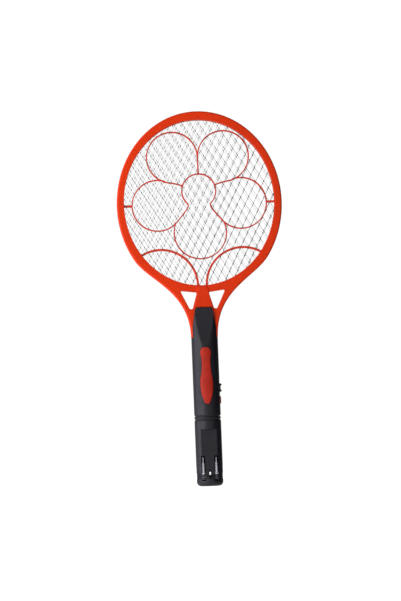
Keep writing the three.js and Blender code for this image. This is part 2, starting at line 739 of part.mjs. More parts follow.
// Ribs inside the front wall, each with a round notch that the plug's shaft turns in.
function plugSaddles() {
  const ribs = [-1, 1].map((side) => {
    const x = side * SADDLE_OFFSET;
    const half = SADDLE_WIDTH / 2;
    return block(
      [x - half, PANEL_Y + HANDLE_WALL - 0.4, PLUG_AXIS_HEIGHT - 4],
      [x + half, SHAFT_Y + 1.6, PLUG_AXIS_HEIGHT + 3.5],
    );
  });
  const notch = bar("x", -10, 10, [SHAFT_Y, PLUG_AXIS_HEIGHT], SHAFT_DIAMETER + 2 * CLEARANCE);
  const opening = block(
    [-10, SHAFT_Y, PLUG_AXIS_HEIGHT - SHAFT_DIAMETER / 2 - CLEARANCE],
    [10, FAR, PLUG_AXIS_HEIGHT + SHAFT_DIAMETER / 2 + CLEARANCE],
  );
  return joined(ribs).subtract(notch.add(opening));
}

function screwHole(x, height) {
  const shank = SCREW_DIAMETER + 2 * CLEARANCE;
  return bar("y", -HALF_DEPTH + HANDLE_WALL + 1.5, FAR / 2, [x, height], shank);
}

function screwHeadSeat(height) {
  const slope = Math.max(0, height - FACET_FOOT) * FACET_SLOPE;
  const cut = height < PANEL_FOOT + PANEL_HEIGHT ? PANEL_CUT : 0;
  return HALF_DEPTH - slope - cut - SCREW_HEAD_HEIGHT - 1;
}

function screwPlaces() {
  const middle = SCREW_HEIGHTS.map((height) => [0, height]);
  const throat = [-1, 1].map((side) => [side * THROAT_SCREW_OFFSET, THROAT_SCREW_HEIGHT]);
  return [...middle, ...throat];
}

// Screw posts that meet at the parting plane, or at the frame's faces in the throat.
function bosses(side) {
  const posts = screwPlaces().map(([x, height]) => {
    const start = height > SHOULDER_HEIGHT ? HALF_THICKNESS + CLEARANCE : CLEARANCE / 2;
    const [from, to] = side < 0 ? [-HALF_DEPTH, -start] : [start, HALF_DEPTH];
    return bar("y", from, to, [x, height], BOSS_DIAMETER, 12);
  });
  return joined(posts).intersect(handleForm(HANDLE_WALL / 2));
}

function handleShell(side) {
  const half = side < 0
    ? block([-FAR, -FAR, -FAR], [FAR, -CLEARANCE / 2, 2 * FAR])
    : block([-FAR, CLEARANCE / 2, -FAR], [FAR, FAR, 2 * FAR]);
  const wall = handleForm(0).subtract(handleHollow()).intersect(half);
  const whole = wall.subtract(throatSlot()).add(bosses(side));
  const holes = screwPlaces().map(([x, height]) => screwHole(x, height));
  return whole.subtract(joined([...holes, sideHoles()]));
}

function handleFrontShell() {
  const shell = handleShell(-1).add(plugSaddles());
  return shell.subtract(joined([gripRecess(), plugSlots()]));
}

function handleRearShell() {
  const seats = screwPlaces().map(([x, height]) => {
    const diameter = SCREW_HEAD_DIAMETER + 2 * CLEARANCE;
    return bar("y", screwHeadSeat(height) - CLEARANCE, FAR / 2, [x, height], diameter);
  });
  return handleShell(1).subtract(joined(seats));
}

function screw(x, height) {
  const seat = screwHeadSeat(height);
  const tip = seat - SCREW_LENGTH * shankShare(height);
  const shank = bar("y", tip, seat + 0.1, [x, height], SCREW_DIAMETER, 12);
  const head = bar("y", seat, seat + SCREW_HEAD_HEIGHT, [x, height], SCREW_HEAD_DIAMETER, 12);
  const slot = block([x - FAR, seat + SCREW_HEAD_HEIGHT - 0.8, height - 0.4], [x + FAR, FAR, height + 0.4]);
  return shank.add(head).subtract(slot);
}

function shankShare(height) {
  return height > SHOULDER_HEIGHT ? 0.95 : 1;
}

// ---- Slide switch and push button --------------------------------------------------------

function powerSwitchKnob() {
  const low = SLIDE_HEIGHT - SLIDE_LENGTH / 2;
  const high = SLIDE_HEIGHT + SLIDE_LENGTH / 2;
  const half = SLIDE_DEPTH / 2;
  const top = HALF_WIDTH + SLIDE_PROUD;
  const body = block([SIDE_INNER - SWITCH_REACH + 1, -half, low], [top, half, high]);
  const ridges = [low + RIDGE_WIDTH, high - RIDGE_WIDTH].map((height) => {
    return bar("y", -half, half, [top, height], RIDGE_RISE * 2, 12);
  });
  return joined([body, ...ridges]);
}

function powerSwitchBody() {
  const reach = SIDE_INNER - SWITCH_REACH + 1 - CLEARANCE;
  const back = BOARD_FRONT - CLEARANCE;
  return block([BOARD_WIDTH / 2 - 4, -3, SLIDE_HEIGHT - 8], [reach, back, SLIDE_HEIGHT + 8]);
}

function zapButton() {
  const half = BUTTON_DEPTH / 2;
  const straight = BUTTON_LENGTH / 2 - half;
  const top = HALF_WIDTH + BUTTON_PROUD;
  const from = BUTTON_FLANGE_X - BUTTON_FLANGE / 2;
  const cap = joined([
    block([from, -half, BUTTON_HEIGHT - straight], [top, half, BUTTON_HEIGHT + straight]),
    bar("x", from, top, [0, BUTTON_HEIGHT - straight], BUTTON_DEPTH),
    bar("x", from, top, [0, BUTTON_HEIGHT + straight], BUTTON_DEPTH),
  ]);
  const flangeHalf = BUTTON_LENGTH / 2 + 1.2;
  const flange = block(
    [BUTTON_FLANGE_X - BUTTON_FLANGE, -half, BUTTON_HEIGHT - flangeHalf],
    [BUTTON_FLANGE_X, half, BUTTON_HEIGHT + flangeHalf],
  );
  return cap.add(flange);
}

function zapSwitchBody() {
  const top = BUTTON_FLANGE_X - BUTTON_FLANGE - BUTTON_TRAVEL - CLEARANCE;
  const back = BOARD_FRONT - CLEARANCE;
  const can = block([BOARD_WIDTH / 2 - 4, -3.2, BUTTON_HEIGHT - 3.2], [top - 1, back, BUTTON_HEIGHT + 3.2]);
  const plunger = bar("x", top - 1.5, top, [-1.2, BUTTON_HEIGHT], 3, 12);
  return can.add(plunger);
}

// ---- Folding plug ------------------------------------------------------------------------

function plugCarrier() {
  const shaft = bar("x", -SHAFT_LENGTH / 2, SHAFT_LENGTH / 2, [SHAFT_Y, PLUG_AXIS_HEIGHT], SHAFT_DIAMETER);
  const hubHalf = PLUG_SLOT_WIDTH / 2 - CLEARANCE;
  const hubs = [-1, 1].map((side) => {
    const x = (side * PIN_SPACING) / 2;
    return bar("x", x - hubHalf, x + hubHalf, [SHAFT_Y, PLUG_AXIS_HEIGHT], HUB_DIAMETER, 20);
  });
  const seatBack = PIN_Y + FLANGE_DIAMETER / 2 + CLEARANCE;
  const seat = block([-FAR, -FAR, PLUG_AXIS_HEIGHT + HUB_SEAT], [FAR, seatBack, FAR]);
  return shaft.add(joined(hubs).subtract(seat));
}

function plugPin(side) {
  const place = [(side * PIN_SPACING) / 2, PIN_Y];
  const shoulder = PIN_FOOT + FLANGE_LENGTH;
  const tip = PIN_TOP - PIN_TIP_LENGTH;
  const middle = (PIN_DIAMETER + PIN_TIP_DIAMETER) / 2;
  return joined([
    bar("z", PIN_FOOT, shoulder, place, FLANGE_DIAMETER, 16, PIN_DIAMETER),
    bar("z", shoulder - 0.1, tip, place, PIN_DIAMETER, 16, middle),
    bar("z", tip - 0.1, PIN_TOP, place, PIN_TIP_DIAMETER, 16),
  ]);
}

// Strip behind the saddles that keeps the shaft in its notches.
function plugBracket() {
  const front = SHAFT_Y + 1.6 + CLEARANCE;
  const behindShaft = SHAFT_Y + SHAFT_DIAMETER / 2 + CLEARANCE;
  const low = Math.max(front, behindShaft);
  const half = SADDLE_OFFSET + SADDLE_WIDTH / 2 + 0.2;
  return block([-half, low, PLUG_AXIS_HEIGHT - 4], [half, low + 1.6, PLUG_AXIS_HEIGHT + 6]);
}

function plugContact(side) {
  const x = (side * PIN_SPACING) / 2;
  const front = SHAFT_Y + HUB_DIAMETER / 2 + CLEARANCE;
  const top = PLUG_AXIS_HEIGHT + 20;
  const leaf = block([x - 1.6, front, PLUG_AXIS_HEIGHT - 2], [x + 1.6, front + 0.5, top]);
  const foot = block([x - 1.6, front, top - 0.5], [x + 1.6, front + 5, top]);
  return leaf.add(foot);
}

function chargeLed() {
  const half = LED_WIDTH / 2;
  const front = PANEL_Y + CLEARANCE;
  const lens = block([-half, front, LED_FOOT], [half, front + LED_DEPTH * 0.28, LED_FOOT + LED_HEIGHT]);
  return lens;
}

// ---- Battery and circuit -----------------------------------------------------------------

function battery() {
  const half = BATTERY_WIDTH / 2;
  const depth = BATTERY_DEPTH / 2;
  const outline = roundedPolygon(
    [vector(-half, -depth), vector(half, -depth), vector(half, depth), vector(-half, depth)],
    2,
  );
  const settings = { depth: BATTERY_HEIGHT, bevelEnabled: false };
  const geometry = new THREE.ExtrudeGeometry(shapeOf(outline), settings);
  geometry.translate(0, 0, BATTERY_FOOT);
  return solidOf(geometry);
}

function circuitBoard() {
  const half = BOARD_WIDTH / 2;
  return block([-half, BOARD_FRONT, BOARD_FOOT], [half, BOARD_BACK, BOARD_TOP]);
}

const PARTS_FRONT = BOARD_FRONT - CLEARANCE;
const TRANSFORMER_HEIGHT = BOARD_TOP - 12;

function transformerCore() {
  const middle = TRANSFORMER_HEIGHT;
  const outer = block([-9, PARTS_FRONT - 9, middle - 8], [9, PARTS_FRONT - 3, middle + 8]);
  const inner = block([-6, -FAR, middle - 5.5], [6, FAR, middle + 5.5]);
  return outer.subtract(inner);
}

function transformerWinding() {
  const half = 6 - CLEARANCE;
  const outline = roundedPolygon(
    [
      vector(-half, TRANSFORMER_HEIGHT - 5.2),
      vector(half, TRANSFORMER_HEIGHT - 5.2),
      vector(half, TRANSFORMER_HEIGHT + 5.2),
      vector(-half, TRANSFORMER_HEIGHT + 5.2),
    ],
    2,
  );
  return plate(shapeOf(outline), PARTS_FRONT - 11, PARTS_FRONT);
}

function capacitor(x, height, width, length) {
  const outline = roundedPolygon(
    [
      vector(x - width / 2, height - length / 2),
      vector(x + width / 2, height - length / 2),
      vector(x + width / 2, height + length / 2),
      vector(x - width / 2, height + length / 2),
    ],
    1.5,
  );
  return plate(shapeOf(outline), PARTS_FRONT - 8, PARTS_FRONT);
}

function diode(place) {
  return bar("z", BOARD_FOOT + 36, BOARD_FOOT + 41, [-8 + place * 4, PARTS_FRONT - 1.4], 2.6, 10);
}

function resistor(x, length) {
  return bar("z", BOARD_FOOT + 27, BOARD_FOOT + 27 + length, [x, PARTS_FRONT - 1.3], 2.3, 10);
}

// Flat-faced round package.
function transistor() {
  const body = bar("z", BOARD_FOOT + 28, BOARD_FOOT + 32.6, [3.5, PARTS_FRONT - 2.4], 4.6, 14);
  return body.subtract(block([0, -FAR, 0], [FAR, PARTS_FRONT - 3.8, FAR]));
}

// ---- Leads held inside the handle and the throat -----------------------------------------

function lead(points) {
  const path = new THREE.CatmullRomCurve3(points.map((point) => new THREE.Vector3(...point)));
  const section = ellipseShape(0, LEAD_DIAMETER / 2, LEAD_DIAMETER / 2, 6);
  const settings = { steps: 4 * points.length, extrudePath: path, bevelEnabled: false };
  return solidOf(new THREE.ExtrudeGeometry(section, settings));
}

function netLead(side) {
  const x = side * LEAD_CHANNEL_OFFSET;
  const top = SEAT_FOOT - TERMINAL_BAY_HEIGHT + CLEARANCE;
  return lead([
    [x * 1.6, PARTS_FRONT - 2, BOARD_TOP + 1],
    [x * 1.6, PARTS_FRONT - 1, BOARD_TOP + 4],
    [x * 1.2, 0, SHOULDER_HEIGHT - STEM_LENGTH - 2],
    [x, 0, SHOULDER_HEIGHT - STEM_LENGTH + 6],
    [x, 0, (SHOULDER_HEIGHT + top) / 2],
    [x, 0, top],
  ]);
}

function batteryLead(side) {
  const top = BATTERY_FOOT + BATTERY_HEIGHT;
  return lead([
    [side * 5, BATTERY_DEPTH / 2 - 3, top + CLEARANCE],
    [side * 5.6, BATTERY_DEPTH / 2 - 2, top + 4],
    [side * 7, BOARD_BACK + 3, BOARD_FOOT + 1],
    [side * 7, BOARD_BACK + LEAD_DIAMETER / 2 + CLEARANCE, BOARD_FOOT + 9],
  ]);
}

function chargerLead(side) {
  const x = (side * PIN_SPACING) / 2;
  const y = BATTERY_DEPTH / 2 + LEAD_DIAMETER / 2 + 0.4;
  return lead([
    [x, SHAFT_Y + HUB_DIAMETER / 2 + 3, PLUG_AXIS_HEIGHT + 20 + CLEARANCE + LEAD_DIAMETER / 2],
    [x, y - 2, PLUG_AXIS_HEIGHT + 28],
    [side * 6.4, y, BATTERY_FOOT + 2],
    [side * 6.4, y, BATTERY_FOOT + BATTERY_HEIGHT],
    [side * 8.8, y - 3, BOARD_FOOT - 3],
    [side * 9.6, BOARD_BACK + LEAD_DIAMETER / 2 + CLEARANCE, BOARD_FOOT + 4],
  ]);
}

// ---- Assembly ----------------------------------------------------------------------------

const model = new THREE.Group();
model.position.z = -GRIP_CENTRE;

function piece(name, solid, material, parent = model) {
  const mesh = new THREE.Mesh(geometryOf(solid), material);
  mesh.name = name;
  parent.add(mesh);
}

function addHead() {
  const head = new THREE.Group();
  const frame = headFrameHalves();
  piece("head_frame_front", frame.front, FRAME_PLASTIC, head);
  piece("head_frame_rear", frame.rear, FRAME_PLASTIC, head);
  piece("front_net", net(-NET_STEP, 0), NET_STEEL, head);
  piece("centre_net", net(0, 0.35), NET_STEEL, head);
  piece("rear_net", net(NET_STEP, 0.15), NET_STEEL, head);
  const spacerOffset = NET_THICKNESS / 2 + CLEARANCE;
  piece("front_spacer", spacer(-NET_STEP + spacerOffset), SPACER_PLASTIC, head);
  piece("rear_spacer", spacer(spacerOffset), SPACER_PLASTIC, head);
  piece("outer_net_terminal", outerNetTerminal(), BRASS, head);
  piece("centre_net_terminal", centreNetTerminal(), BRASS, head);
  model.add(head);
}

function addHandle() {
  const handle = new THREE.Group();
  piece("handle_front_shell", handleFrontShell(), HANDLE_PLASTIC, handle);
  piece("handle_rear_shell", handleRearShell(), HANDLE_PLASTIC, handle);
  piece("grip_insert", gripInsert(), GRIP_RUBBER, handle);
  SCREW_HEIGHTS.forEach((height, i) => {
    piece(`handle_screw_${i + 1}`, screw(0, height), PIN_METAL, handle);
  });
  piece("throat_screw_left", screw(-THROAT_SCREW_OFFSET, THROAT_SCREW_HEIGHT), PIN_METAL, handle);
  piece("throat_screw_right", screw(THROAT_SCREW_OFFSET, THROAT_SCREW_HEIGHT), PIN_METAL, handle);
  model.add(handle);
}

function addControls() {
  piece("power_switch_knob", powerSwitchKnob(), KNOB_PLASTIC);
  piece("power_switch_body", powerSwitchBody(), BLACK_EPOXY);
  piece("zap_button", zapButton(), BUTTON_PLASTIC);
  piece("zap_switch_body", zapSwitchBody(), BLACK_EPOXY);
}

function addPlug() {
  const plug = new THREE.Group();
  piece("plug_carrier", plugCarrier(), HANDLE_PLASTIC, plug);
  piece("plug_pin_left", plugPin(-1), PIN_METAL, plug);
  piece("plug_pin_right", plugPin(1), PIN_METAL, plug);
  model.add(plug);
  piece("plug_bracket", plugBracket(), HANDLE_PLASTIC);
  piece("plug_contact_left", plugContact(-1), BRASS);
  piece("plug_contact_right", plugContact(1), BRASS);
  piece("charge_led", chargeLed(), LED_RESIN);
}

function addCircuit() {
  const circuit = new THREE.Group();
  piece("battery", battery(), BATTERY_CASE, circuit);
  piece("circuit_board", circuitBoard(), BOARD_LAMINATE, circuit);
  piece("transformer_core", transformerCore(), FERRITE, circuit);
  piece("transformer_winding", transformerWinding(), COPPER, circuit);
  piece("storage_capacitor", capacitor(-4.5, BOARD_FOOT + 7, 11, 12), FILM_RESIN, circuit);
  piece("dropper_capacitor", capacitor(-4.5, BOARD_FOOT + 20, 10, 11), FILM_RESIN, circuit);
  for (let place = 0; place < 4; place += 1) {
    piece(`rectifier_diode_${place + 1}`, diode(place), BLACK_EPOXY, circuit);
  }
  piece("transistor", transistor(), BLACK_EPOXY, circuit);
  piece("bleed_resistor", resistor(-8, 6.3), SAND_RESIN, circuit);
  piece("base_resistor", resistor(-3.5, 6.3), SAND_RESIN, circuit);
  piece("net_lead_left", netLead(-1), BLACK_WIRE, circuit);
  piece("net_lead_right", netLead(1), RED_WIRE, circuit);
  piece("battery_lead_left", batteryLead(-1), BLACK_WIRE, circuit);
  piece("battery_lead_right", batteryLead(1), RED_WIRE, circuit);
  piece("charger_lead_left", chargerLead(-1), BLACK_WIRE, circuit);
  piece("charger_lead_right", chargerLead(1), BLACK_WIRE, circuit);
  model.add(circuit);
}

addHead();
addHandle();
addControls();
addPlug();
addCircuit();

export default model;
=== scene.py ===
"""Electric fly swatter: the looks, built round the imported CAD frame.

Metres, +Z towards the net head, the front faces -Y, +X is to the right seen from the front.
"""

import json
import math

import bmesh
import bpy
from mathutils import Matrix, Vector


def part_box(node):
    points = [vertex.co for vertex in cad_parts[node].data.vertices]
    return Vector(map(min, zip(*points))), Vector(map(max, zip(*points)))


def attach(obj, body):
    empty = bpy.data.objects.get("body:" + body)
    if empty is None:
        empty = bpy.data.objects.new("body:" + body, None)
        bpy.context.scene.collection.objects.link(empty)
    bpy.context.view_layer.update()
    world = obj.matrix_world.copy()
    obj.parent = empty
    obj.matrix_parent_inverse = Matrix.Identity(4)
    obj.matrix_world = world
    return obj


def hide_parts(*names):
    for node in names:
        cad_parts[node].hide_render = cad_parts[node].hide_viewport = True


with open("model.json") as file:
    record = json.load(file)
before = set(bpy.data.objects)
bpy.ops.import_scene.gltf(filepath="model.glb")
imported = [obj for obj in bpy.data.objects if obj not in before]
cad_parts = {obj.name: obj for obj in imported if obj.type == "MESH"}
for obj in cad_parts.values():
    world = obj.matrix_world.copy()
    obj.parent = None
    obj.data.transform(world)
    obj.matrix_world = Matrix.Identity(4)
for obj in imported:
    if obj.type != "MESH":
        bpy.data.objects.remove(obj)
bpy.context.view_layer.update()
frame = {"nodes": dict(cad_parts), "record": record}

MM = 0.001
ROOT = "racket"
SIDES = (("front", -1), ("rear", 1))

# ---- Sizes read from the frame ----

FRAME_LOW, FRAME_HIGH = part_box("head_frame_front")
REAR_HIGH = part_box("head_frame_rear")[1]
NET_LOW, NET_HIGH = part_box("front_net")
SPACER_LOW, SPACER_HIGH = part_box("front_spacer")
REAR_SPACER_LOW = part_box("rear_spacer")[0]
SHELL_LOW, SHELL_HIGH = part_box("handle_front_shell")
KNOB_LOW, KNOB_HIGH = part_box("power_switch_knob")
BUTTON_LOW, BUTTON_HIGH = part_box("zap_button")
PIN_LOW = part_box("plug_pin_right")[0]
LED_LOW, LED_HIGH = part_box("charge_led")

# Head: the oval and the opening that the nets fill
OVAL_HALF_WIDTH = FRAME_HIGH.x
OVAL_HALF_HEIGHT = 127.6 * MM
OVAL_CENTRE = FRAME_HIGH.z - OVAL_HALF_HEIGHT
NET_SEAT = 5.5 * MM
OPENING_HALF_WIDTH = NET_HIGH.x - NET_SEAT
OPENING_HALF_HEIGHT = (NET_HIGH.z - NET_LOW.z) / 2 - NET_SEAT
OPENING_CENTRE = (NET_HIGH.z + NET_LOW.z) / 2
OPENING_FOOT = OPENING_CENTRE - OPENING_HALF_HEIGHT
FACE_Y = REAR_HIGH.y
SEAM_Y = 0.02 * MM
FACE_PLATE = 2 * MM
POCKET_DEPTH = FACE_Y - FACE_PLATE

# Handle
HANDLE_FOOT = SHELL_LOW.z
HANDLE_TOP = SHELL_HIGH.z
HANDLE_HALF_WIDTH = SHELL_HIGH.x
SHOULDER = HANDLE_FOOT + 203.7 * MM


def height(millimetres):
    """A height above the handle's flat end, given in millimetres, as a z of the frame."""
    return HANDLE_FOOT + millimetres * MM


# ---- Camera ----

VIEW_TARGET = Vector((-3.5 * MM, 0, height(254.8)))
VIEW_DISTANCE = 3.8
VIEW_HEIGHT = 0.826
VIEW_YAW = math.radians(2.5)
VIEW_ROLL = math.radians(2.25)
VIEW_RISE = math.radians(2.2)
SENSOR = 36.0


def add_camera():
    data = bpy.data.cameras.new("camera")
    camera = bpy.data.objects.new("camera", data)
    bpy.context.scene.collection.objects.link(camera)
    level = Vector((math.cos(VIEW_YAW), -math.sin(VIEW_YAW), 0))
    ahead = Vector((math.sin(VIEW_YAW), math.cos(VIEW_YAW), 0))
    forward = ahead * math.cos(VIEW_RISE) + Vector((0, 0, math.sin(VIEW_RISE)))
    straight_up = level.cross(forward)
    upward = straight_up * math.cos(VIEW_ROLL) + level * math.sin(VIEW_ROLL)
    right = forward.cross(upward)
    turn = Matrix((right, upward, -forward)).transposed().to_4x4()
    camera.matrix_world = Matrix.Translation(VIEW_TARGET - forward * VIEW_DISTANCE) @ turn
    data.sensor_width = SENSOR
    data.lens = SENSOR * VIEW_DISTANCE / VIEW_HEIGHT
    bpy.context.scene.camera = camera


add_camera()

# ---- Material helpers ----


class Paint:
    """A node material with a Principled shader, and short ways to add procedural layers to it."""

    def __init__(self, name, color, roughness, metallic=0.0, specular=0.5, coat=0.0):
        self.material = bpy.data.materials.new(name)
        self.material.use_nodes = True
        self.tree = self.material.node_tree
        self.shader = self.tree.nodes["Principled BSDF"]
        self.color = color
        self.set_shader("Base Color", (*color, 1))
        self.set_shader("Roughness", roughness)
        self.set_shader("Metallic", metallic)
        self.set_shader("Specular IOR Level", specular)
        self.set_shader("Coat Weight", coat)
        self.set_shader("Coat Roughness", 0.2)
        self.place = self.node("TexCoord").outputs["Object"]
        self.normal = None

    def set_shader(self, name, value):
        self.shader.inputs[name].default_value = value

    def glow(self, strength):
        self.set_shader("Emission Color", (1, 1, 1, 1))
        self.set_shader("Emission Strength", strength)

    def node(self, kind, source=None, target=None, **values):
        """A new shader node. Its inputs are set by name, and source is linked to the input target."""
        node = self.tree.nodes.new("ShaderNode" + kind)
        for name, value in values.items():
            node.inputs[name.replace("_", " ")].default_value = value
        if source is not None:
            self.link(source, node.inputs[target])
        return node

    def link(self, source, target):
        self.tree.links.new(source, target)

    def noise(self, scale, detail=3.0, stretch=(1, 1, 1)):
        mapping = self.node("Mapping", self.place, "Vector", Scale=stretch)
        texture = self.node("TexNoise", mapping.outputs["Vector"], "Vector", Scale=scale, Detail=detail)
        return texture.outputs["Fac"]

    def ramp(self, source, stops):
        node = self.node("ValToRGB", source, "Fac")
        elements = node.color_ramp.elements
        while len(elements) < len(stops):
            elements.new(0.5)
        for element, (position, color) in zip(elements, stops):
            element.position = position
            element.color = (*color, 1)
        return node.outputs["Color"]

    def spread(self, source, start, end, low, high):
        """Maps the range from start to end onto the range from low to high."""
        node = self.node("MapRange", source, "Value", From_Min=start, From_Max=end, To_Min=low, To_Max=high)
        return node.outputs["Result"]

    def mottle(self, scale, darker, lighter):
        """Slow colour drift between two shades of the base colour."""
        low = tuple(channel * darker for channel in self.color)
        high = tuple(min(channel * lighter, 1) for channel in self.color)
        shade = self.ramp(self.noise(scale), [(0.3, low), (0.7, high)])
        self.link(shade, self.shader.inputs["Base Color"])
        return self

    def rough(self, scale, low, high):
        self.link(self.spread(self.noise(scale), 0.3, 0.7, low, high), self.shader.inputs["Roughness"])
        return self

    def bump(self, source, strength, distance):
        node = self.node("Bump", source, "Height", Strength=strength, Distance=distance)
        if self.normal is not None:
            self.link(self.normal, node.inputs["Normal"])
        self.normal = node.outputs["Normal"]
        self.link(self.normal, self.shader.inputs["Normal"])
        return self

    def stipple(self, scale, full, none):
        """Moulded dots that show below one height and fade out up to another."""
        dots = self.node("TexVoronoi", self.place, "Vector", Scale=scale)
        place = self.node("SeparateXYZ", self.place, "Vector")
        shown = self.node("Math", dots.outputs["Distance"], 0)
        shown.operation = "MULTIPLY"
        self.link(self.spread(place.outputs["Z"], full, none, 1, 0), shown.inputs[1])
        return self.bump(shown.outputs["Value"], 0.5, 0.0004)

    def grain(self, scale, strength, distance=0.0001, stretch=(1, 1, 1)):
        return self.bump(self.noise(scale, 2.0, stretch), strength, distance)


def plain_look(color, roughness, scale=150):
    rough = (scale * 2, roughness - 0.08, roughness + 0.1)
    return color, roughness, (scale, 0.82, 1.15), rough, [(scale * 9, 0.2, 0.00005)], {}


# For each look: colour, roughness, mottle, roughness layer, bump grains, other shader values
LOOKS = {
    "frame_plastic": ((0.85, 0.040, 0.0015), 0.42, (14, 0.93, 1.05), (60, 0.33, 0.46),
        [(900, 0.10), (60, 0.06, 0.0004)], {"specular": 0.16}),
    "spacer_plastic": ((0.84, 0.052, 0.016), 0.42, (40, 0.8, 1.1), (120, 0.36, 0.5),
        [(900, 0.12)], {"specular": 0.25}),
    "net_steel": ((0.20, 0.205, 0.21), 0.42, (220, 0.72, 1.25), (400, 0.28, 0.5),
        [(3000, 0.15, 0.00003)], {"metallic": 0.8}),
    "weld_metal": ((0.035, 0.036, 0.038), 0.65, (500, 0.6, 1.5), None,
        [(2500, 0.3, 0.00005)], {"metallic": 0.4}),
    "handle_plastic": ((0.0138, 0.0134, 0.0185), 0.44, (25, 0.85, 1.18), (90, 0.40, 0.56),
        [(1400, 0.35, 0.00006), (350, 0.10, 0.0001)], {"specular": 0.36}),
    # The hub's plastic is painted a lighter grey than the handle: painted light that lifts the shade in the
    # pit round the hub.
    "hub_plastic_painted_lighter": ((0.060, 0.059, 0.068), 0.5, (120, 0.85, 1.15), (300, 0.42, 0.58),
        [(1400, 0.25, 0.00005)], {"specular": 0.4}),
    "grip_rubber": ((0.53, 0.022, 0.008), 0.52, (55, 0.78, 1.12), (150, 0.45, 0.62),
        [(1100, 0.3, 0.00008)], {"specular": 0.25}),
    "button_plastic": ((0.52, 0.006, 0.030), 0.32, (60, 0.9, 1.08), (200, 0.26, 0.4),
        [(900, 0.08)], {"coat": 0.2}),
    "knob_plastic": ((0.008, 0.008, 0.009), 0.45, (80, 0.8, 1.3), (200, 0.38, 0.55),
        [(1500, 0.3, 0.00006)], {}),
    "bezel_black": ((0.002, 0.002, 0.002), 0.6, (300, 0.6, 1.6), (500, 0.5, 0.7),
        [(2500, 0.2, 0.00004)], {"specular": 0.15}),
    "pin_metal": ((0.50, 0.50, 0.57), 0.42, (200, 0.94, 1.05), (300, 0.34, 0.44),
        [(1200, 0.06, 0.00002, (1, 1, 0.08))], {"metallic": 0.25}),
    "screw_steel": ((0.42, 0.42, 0.43), 0.35, (400, 0.75, 1.15), (500, 0.25, 0.5),
        [(2500, 0.2, 0.00004)], {"metallic": 0.95}),
    "brass_strip": ((0.62, 0.42, 0.14), 0.32, (150, 0.8, 1.1), (300, 0.25, 0.45),
        [(2000, 0.15, 0.00004)], {"metallic": 0.95}),
    "led_resin": ((0.90, 0.90, 0.88), 0.18, (120, 0.95, 1.04), (200, 0.12, 0.25),
        [(1500, 0.05, 0.00003)], {"coat": 0.4}),
    "board_laminate": ((0.36, 0.20, 0.06), 0.55, (90, 0.8, 1.15), None,
        [(700, 0.25, 0.00006, (1, 1, 0.2))], {}),
    "winding_wrap": ((0.62, 0.36, 0.03), 0.4, (100, 0.85, 1.1), None,
        [(300, 0.3, 0.0001, (0.2, 1, 1))], {}),
    "battery_case": plain_look((0.62, 0.62, 0.60), 0.5),
    "ferrite": plain_look((0.035, 0.035, 0.037), 0.7, scale=300),
    "film_resin": plain_look((0.24, 0.02, 0.012), 0.3),
    "sand_resin": plain_look((0.52, 0.40, 0.22), 0.6),
    "black_epoxy": plain_look((0.010, 0.010, 0.011), 0.5),
    "red_wire": plain_look((0.38, 0.012, 0.010), 0.45),
    "black_wire": plain_look((0.012, 0.012, 0.013), 0.45),
}
LOOK_NAMES = {"spacer_plastic": "rib_plastic", "net_steel": "net_wire"}
STIPPLE_FULL = 19
STIPPLE_NONE = 24
LENS_GLOW = 0.35
MATERIALS = {}


def make_materials():
    """Fills MATERIALS, by look."""
    for look, (color, roughness, mottle, rough, grains, shader) in LOOKS.items():
        paint = Paint(LOOK_NAMES.get(look, look), color, roughness, **shader)
        paint.mottle(*mottle)
        if rough:
            paint.rough(*rough)
        for grain in grains:
            paint.grain(*grain)
        if look == "handle_plastic":
            paint.stipple(700, height(STIPPLE_FULL), height(STIPPLE_NONE))
        if look == "led_resin":
            paint.glow(LENS_GLOW)
        MATERIALS[look] = paint.material


def dress_frame():
    """Every carried-over CAD node gets the material of its slot."""
    slots = {part["node"]: part["material_slot"] for part in frame["record"]["subparts"]}
    for name, obj in frame["nodes"].items():
        obj.data.materials.clear()
        obj.data.materials.append(MATERIALS[slots[name]])


# ---- Mesh helpers ----


def add_object(name, data):
    obj = bpy.data.objects.new(name, data)
    bpy.context.scene.collection.objects.link(obj)
    return obj


def mesh_object(name, vertices, faces):
    mesh = bpy.data.meshes.new(name)
    mesh.from_pydata([tuple(v) for v in vertices], [], faces)
    mesh.update()
    obj = add_object(name, mesh)
    tidy_normals(obj)
    return obj


def from_bmesh(name, bm):
    """A new object with the mesh of bm, which is freed."""
    mesh = bpy.data.meshes.new(name)
    bm.to_mesh(mesh)
    bm.free()
    return add_object(name, mesh)


def bridge(bm, rings):
    """Faces between neighbouring closed rings of vertices."""
    for lower, upper in zip(rings, rings[1:]):
        for i in range(len(lower)):
            j = (i + 1) % len(lower)
            bm.faces.new((lower[i], lower[j], upper[j], upper[i]))


def tidy_normals(obj):
    bm = bmesh.new()
    bm.from_mesh(obj.data)
    bmesh.ops.remove_doubles(bm, verts=bm.verts, dist=1e-7)
    bmesh.ops.recalc_face_normals(bm, faces=bm.faces)
    bm.to_mesh(obj.data)
    bm.free()


def smooth(obj, angle=35):
    obj.data.shade_smooth()
    obj.data.set_sharp_from_angle(angle=math.radians(angle))
    return obj


def weighted(obj):
    modifier = obj.modifiers.new("weighted", "WEIGHTED_NORMAL")
    modifier.keep_sharp = True
    return obj


def combine(obj, others, operation):
    """Joins other solids to obj, or cuts them from it, and removes them."""
    group = bpy.data.collections.new("operands")
    for other in others:
        for owner in list(other.users_collection):
            owner.objects.unlink(other)
        group.objects.link(other)
    modifier = obj.modifiers.new("combine", "BOOLEAN")
    modifier.operation = operation
    modifier.operand_type = "COLLECTION"
    modifier.collection = group
    modifier.solver = "EXACT"
    bpy.context.view_layer.update()
    evaluated = obj.evaluated_get(bpy.context.evaluated_depsgraph_get())
    result = bpy.data.meshes.new_from_object(evaluated)
    obj.modifiers.clear()
    old = obj.data
    obj.data = result
    bpy.data.meshes.remove(old)
    for other in others:
        bpy.data.objects.remove(other)
    bpy.data.collections.remove(group)
    return obj


